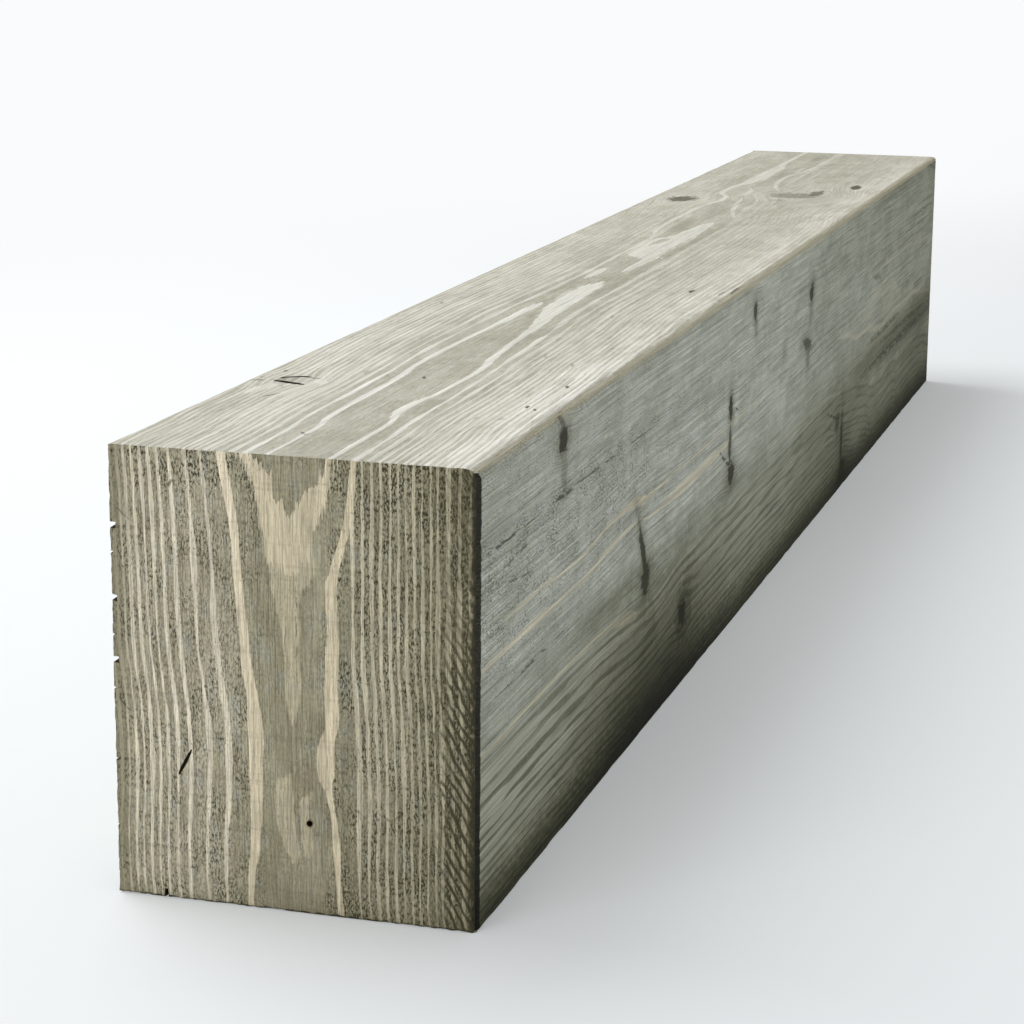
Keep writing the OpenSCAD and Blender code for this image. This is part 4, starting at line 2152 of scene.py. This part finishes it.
FAR_END_FIGURE = Figure(
    heart=((0, 6.0), (110, 2.0), (220, 4.0)),
    lift=((0, 120), (90, 420), (160, 600), (220, 480)),
    rings=NEAR_END_FIGURE.rings,
    widths=((0, 14.0), (0.99, 14.0), (1.01, 6.0), (1.99, 6.0), (2.01, 2.5), (6, 1.8), (23.5, 1.2)),
    spread=((0, 0.9), (220, 1.0)),
    inner_fade=((0, 1.0), (40, 1.0), (70, 0.35), (120, 0.2), (220, 0.1)),
    outer_fade=((0, 1.0), (220, 0.9)),
    dims=NEAR_END_FIGURE.dims,
    knots=(Knot(-22, 150, 5, 6, push=0.5, dark=0.8),),
    shakes=(Knot(30, 120, 0.6, 14, turn=8, dark=0.7),),
    seed=101.0,
    patchy=0.35,
    sway=1.2,
    ripple=0.9,
    jag=9.0,
    soft=0.22,
    proud=0.25,
    speck_size=(0.85, 2.1),
    speck_level=0.4,
    speck_ramp=0.28,
    speck_detail=3.0,
    fibre_size=(0.62, 16.0),
    streak_size=(1.6, 110.0),
    nap_depth=0.3,
    saw_bands=0.1,
)

END_PALETTE = Palette(
    early=tint(166, 159, 134),
    early_alt=tint(178, 171, 147),
    late=tint(211, 202, 178),
    late_inner=tint(217, 204, 176),
    haze=tint(176, 178, 172),
    haze_share=0.3,
    speck=tint(66, 62, 44),
    speck_share=0.92,
    fibre_share=0.38,
    knot=tint(60, 50, 34),
    halo=tint(180, 168, 134),
    halo_share=0.3,
    shake=tint(44, 40, 28),
    across_shade=(
        (-90, 1.0), (-80, 1.13), (-45, 1.26), (-20, 1.05), (-12, 0.97), (12, 0.95), (20, 0.98), (37, 0.92),
        (52, 0.88), (67, 0.74), (80, 0.66), (90, 0.56),
    ),
    # Darker along the bottom edge: painted contact shadow.
    along_shade=((0, 0.4), (2.5, 0.86), (8, 0.95), (30, 0.99), (120, 1.0), (220, 1.0)),
    shade_jag=2.0,
    edges=(
        # Painted shade: near-black strip on the eased near-right arris, where it turns away from the lamps.
        Edge(90, 2.2, 2.4, tint(38, 36, 23), 0.92, 1.6),
        # Painted contact shadow: dark ragged line along the bottom edge.
        Edge(0, 0.8, 0.6, tint(36, 34, 24), 0.85, 0.8, True),
        Edge(-90, 3.0, 9.0, tint(142, 136, 111), 0.75, 1.4),
    ),
)

TOP_PALETTE = Palette(
    early=tint(184, 181, 166),
    early_alt=tint(197, 194, 180),
    late=tint(228, 226, 215),
    late_inner=tint(234, 233, 225),
    haze=tint(208, 208, 200),
    haze_share=0.4,
    speck=tint(134, 128, 108),
    speck_share=0.55,
    fibre_share=0.24,
    knot=tint(84, 82, 62),
    halo=tint(214, 211, 200),
    halo_share=0.5,
    shake=tint(62, 56, 44),
    across_shade=(
        (-90, 1.03), (-72, 1.04), (-58, 0.99), (-20, 1.0), (20, 0.95), (40, 0.96), (60, 1.01), (75, 1.12),
        (90, 1.12),
    ),
    along_shade=((0, 0.98), (150, 1.01), (300, 0.96), (450, 0.92), (700, 0.93), (1000, 0.94), (1500, 0.9)),
    shade_jag=0.0,
    edges=(
        Edge(90, 4.0, 0.8, tint(184, 177, 152), 0.68, 0.6),
        Edge(-90, 1.0, 5.0, tint(168, 162, 142), 0.5, 1.2),
    ),
)

SIDE_PALETTE = Palette(
    early=tint(172, 174, 158),
    early_alt=tint(186, 188, 173),
    late=tint(194, 194, 178),
    late_inner=tint(203, 194, 166),
    haze=tint(192, 196, 188),
    haze_share=0.5,
    speck=tint(76, 76, 58),
    speck_share=0.85,
    fibre_share=0.4,
    knot=tint(36, 35, 12),
    halo=tint(114, 113, 88),
    halo_share=0.6,
    shake=tint(56, 56, 40),
    # Darker towards the foot: painted shade near the floor, with damp staining.
    across_shade=(
        (0, 0.1), (6, 0.16), (14, 0.32), (22, 0.58), (34, 0.8), (60, 0.86), (90, 0.88), (112, 1.02),
        (140, 1.08), (180, 1.02), (220, 1.0),
    ),
    along_shade=(
        (0, 1.06), (150, 1.12), (400, 1.12), (700, 1.08), (800, 0.99), (900, 0.86), (1050, 0.84),
        (1200, 0.77), (1500, 0.66),
    ),
    shade_jag=4.0,
    edges=(
        # Pale tan strip along the top arris: wear, with painted light where the arris turns up towards the
        # lamps.
        Edge(220, 3.4, 0.7, tint(188, 180, 152), 0.75, 0.5),
        # Painted shade: near-black strip along the near end, on the eased near arris.
        Edge(0, 4.2, 0.7, tint(16, 15, 8), 0.96, 0.5, True),
    ),
)

UNDERSIDE_PALETTE = replace(
    SIDE_PALETTE,
    across_shade=((-90, 0.8), (-70, 0.95), (70, 0.95), (90, 0.8)),
    edges=(),
)

STUDIO = Studio(
    lamps=(
        Lamp("key", (-1.6, 0.4, 2.6), (0.0, -0.1, 0.1), 2.4, 68.0),
        Lamp("front", (-1.2, -3.4, 1.6), (0.0, -0.7, 0.1), 2.0, 28.0),
    ),
    camera=PhotoCamera((0.430687, -1.860734, 0.471719), 16.331033, 13.144137, 0.449978, 94.315),
    world_strength=0.5,
)


def beam_cuts(low: Vector, high: Vector) -> tuple[Cut, ...]:
    """Lists the hollows in the beam.

    Args:
        low: Lowest corner of the beam.
        high: Highest corner of the beam.

    Returns:
        The hollows.
    """
    splinters = [
        Cut((low.x, low.y, high.z - drop * MM), (6.4 * MM, 12 * MM, 2.0 * MM), wedge=True, ragged=0.4 * MM)
        for drop in (39, 74, 104)
    ]
    nicks = [
        Cut((low.x, low.y, high.z - drop * MM), (deep * MM, 7 * MM, 0.9 * MM), wedge=True, ragged=0.2 * MM)
        for drop, deep in ((52, 3.4), (92, 2.6), (118, 2.8), (153, 3.0), (186, 2.6))
    ]
    split = Cut((low.x + 25 * MM, low.y, low.z), (1.8 * MM, 10 * MM, 6 * MM), wedge=True, ragged=0.25 * MM)
    gouge_place = (low.x + 36 * MM, low.y, low.z + 69 * MM)
    gouge = Cut(gouge_place, (0.9 * MM, 2 * MM, 7.5 * MM), (0, -28, 0), ragged=0.15 * MM)
    pin = Cut((8 * MM, low.y, low.z + 45 * MM), (1.5 * MM, 6 * MM, 1.5 * MM))
    checks = [
        Cut((low.x + off * MM, low.y + run * MM, high.z), (wide, half, 5 * MM), (0, 0, turn), ragged=0.3 * MM)
        for off, run, wide, half, turn in (
            (23.8, 172, 2.2 * MM, 11 * MM, -68),
            (21.5, 188.5, 1.6 * MM, 8.5 * MM, 60),
        )
    ]
    return (*splinters, *nicks, split, gouge, pin, *checks)


def make_beam() -> Beam:
    """Gathers the beam's arrises, faces and hollows.

    Returns:
        The beam, ready to build.
    """
    low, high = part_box(NODE)
    arrises = (
        Arris((Side.TOP, Side.RIGHT), 5.4 * MM, 3.6 * MM, 0.5 * MM, 1.3),
        Arris((Side.TOP, Side.LEFT), 2 * MM),
        Arris((Side.UNDERSIDE, Side.LEFT), 2 * MM),
        Arris((Side.UNDERSIDE, Side.RIGHT), 1 * MM),
        Arris((Side.NEAR_END, Side.RIGHT), 4 * MM, power=1.5),
        Arris((Side.NEAR_END, Side.LEFT), 0.5 * MM, wear=0.7 * MM),
        Arris((Side.FAR_END, Side.RIGHT), 1.5 * MM),
        Arris((Side.FAR_END, Side.LEFT), 1.5 * MM),
        Arris((Side.NEAR_END, Side.TOP), 1 * MM),
        Arris((Side.NEAR_END, Side.UNDERSIDE), 0.6 * MM, wear=0.5 * MM),
        Arris((Side.FAR_END, Side.TOP), 1 * MM),
        Arris((Side.FAR_END, Side.UNDERSIDE), 1 * MM),
    )
    dressed = (
        (Side.TOP, TOP_FIGURE, TOP_PALETTE),
        (Side.RIGHT, RIGHT_FIGURE, SIDE_PALETTE),
        (Side.LEFT, LEFT_FIGURE, SIDE_PALETTE),
        (Side.UNDERSIDE, UNDERSIDE_FIGURE, UNDERSIDE_PALETTE),
        (Side.NEAR_END, NEAR_END_FIGURE, END_PALETTE),
        (Side.FAR_END, FAR_END_FIGURE, END_PALETTE),
    )
    faces = tuple(Face(side, figure, palette, low.y) for side, figure, palette in dressed)
    return Beam(low, high, arrises, faces, beam_cuts(low, high))


def main() -> None:
    """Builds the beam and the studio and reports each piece."""
    logging.basicConfig(level=logging.INFO, format="%(name)s: %(message)s")
    piece = make_beam().build()
    piece.data.calc_loop_triangles()
    LOG.info("%s has %d triangles", piece.name, len(piece.data.loop_triangles))
    STUDIO.set_up()


if __name__ == "__main__":
    main()
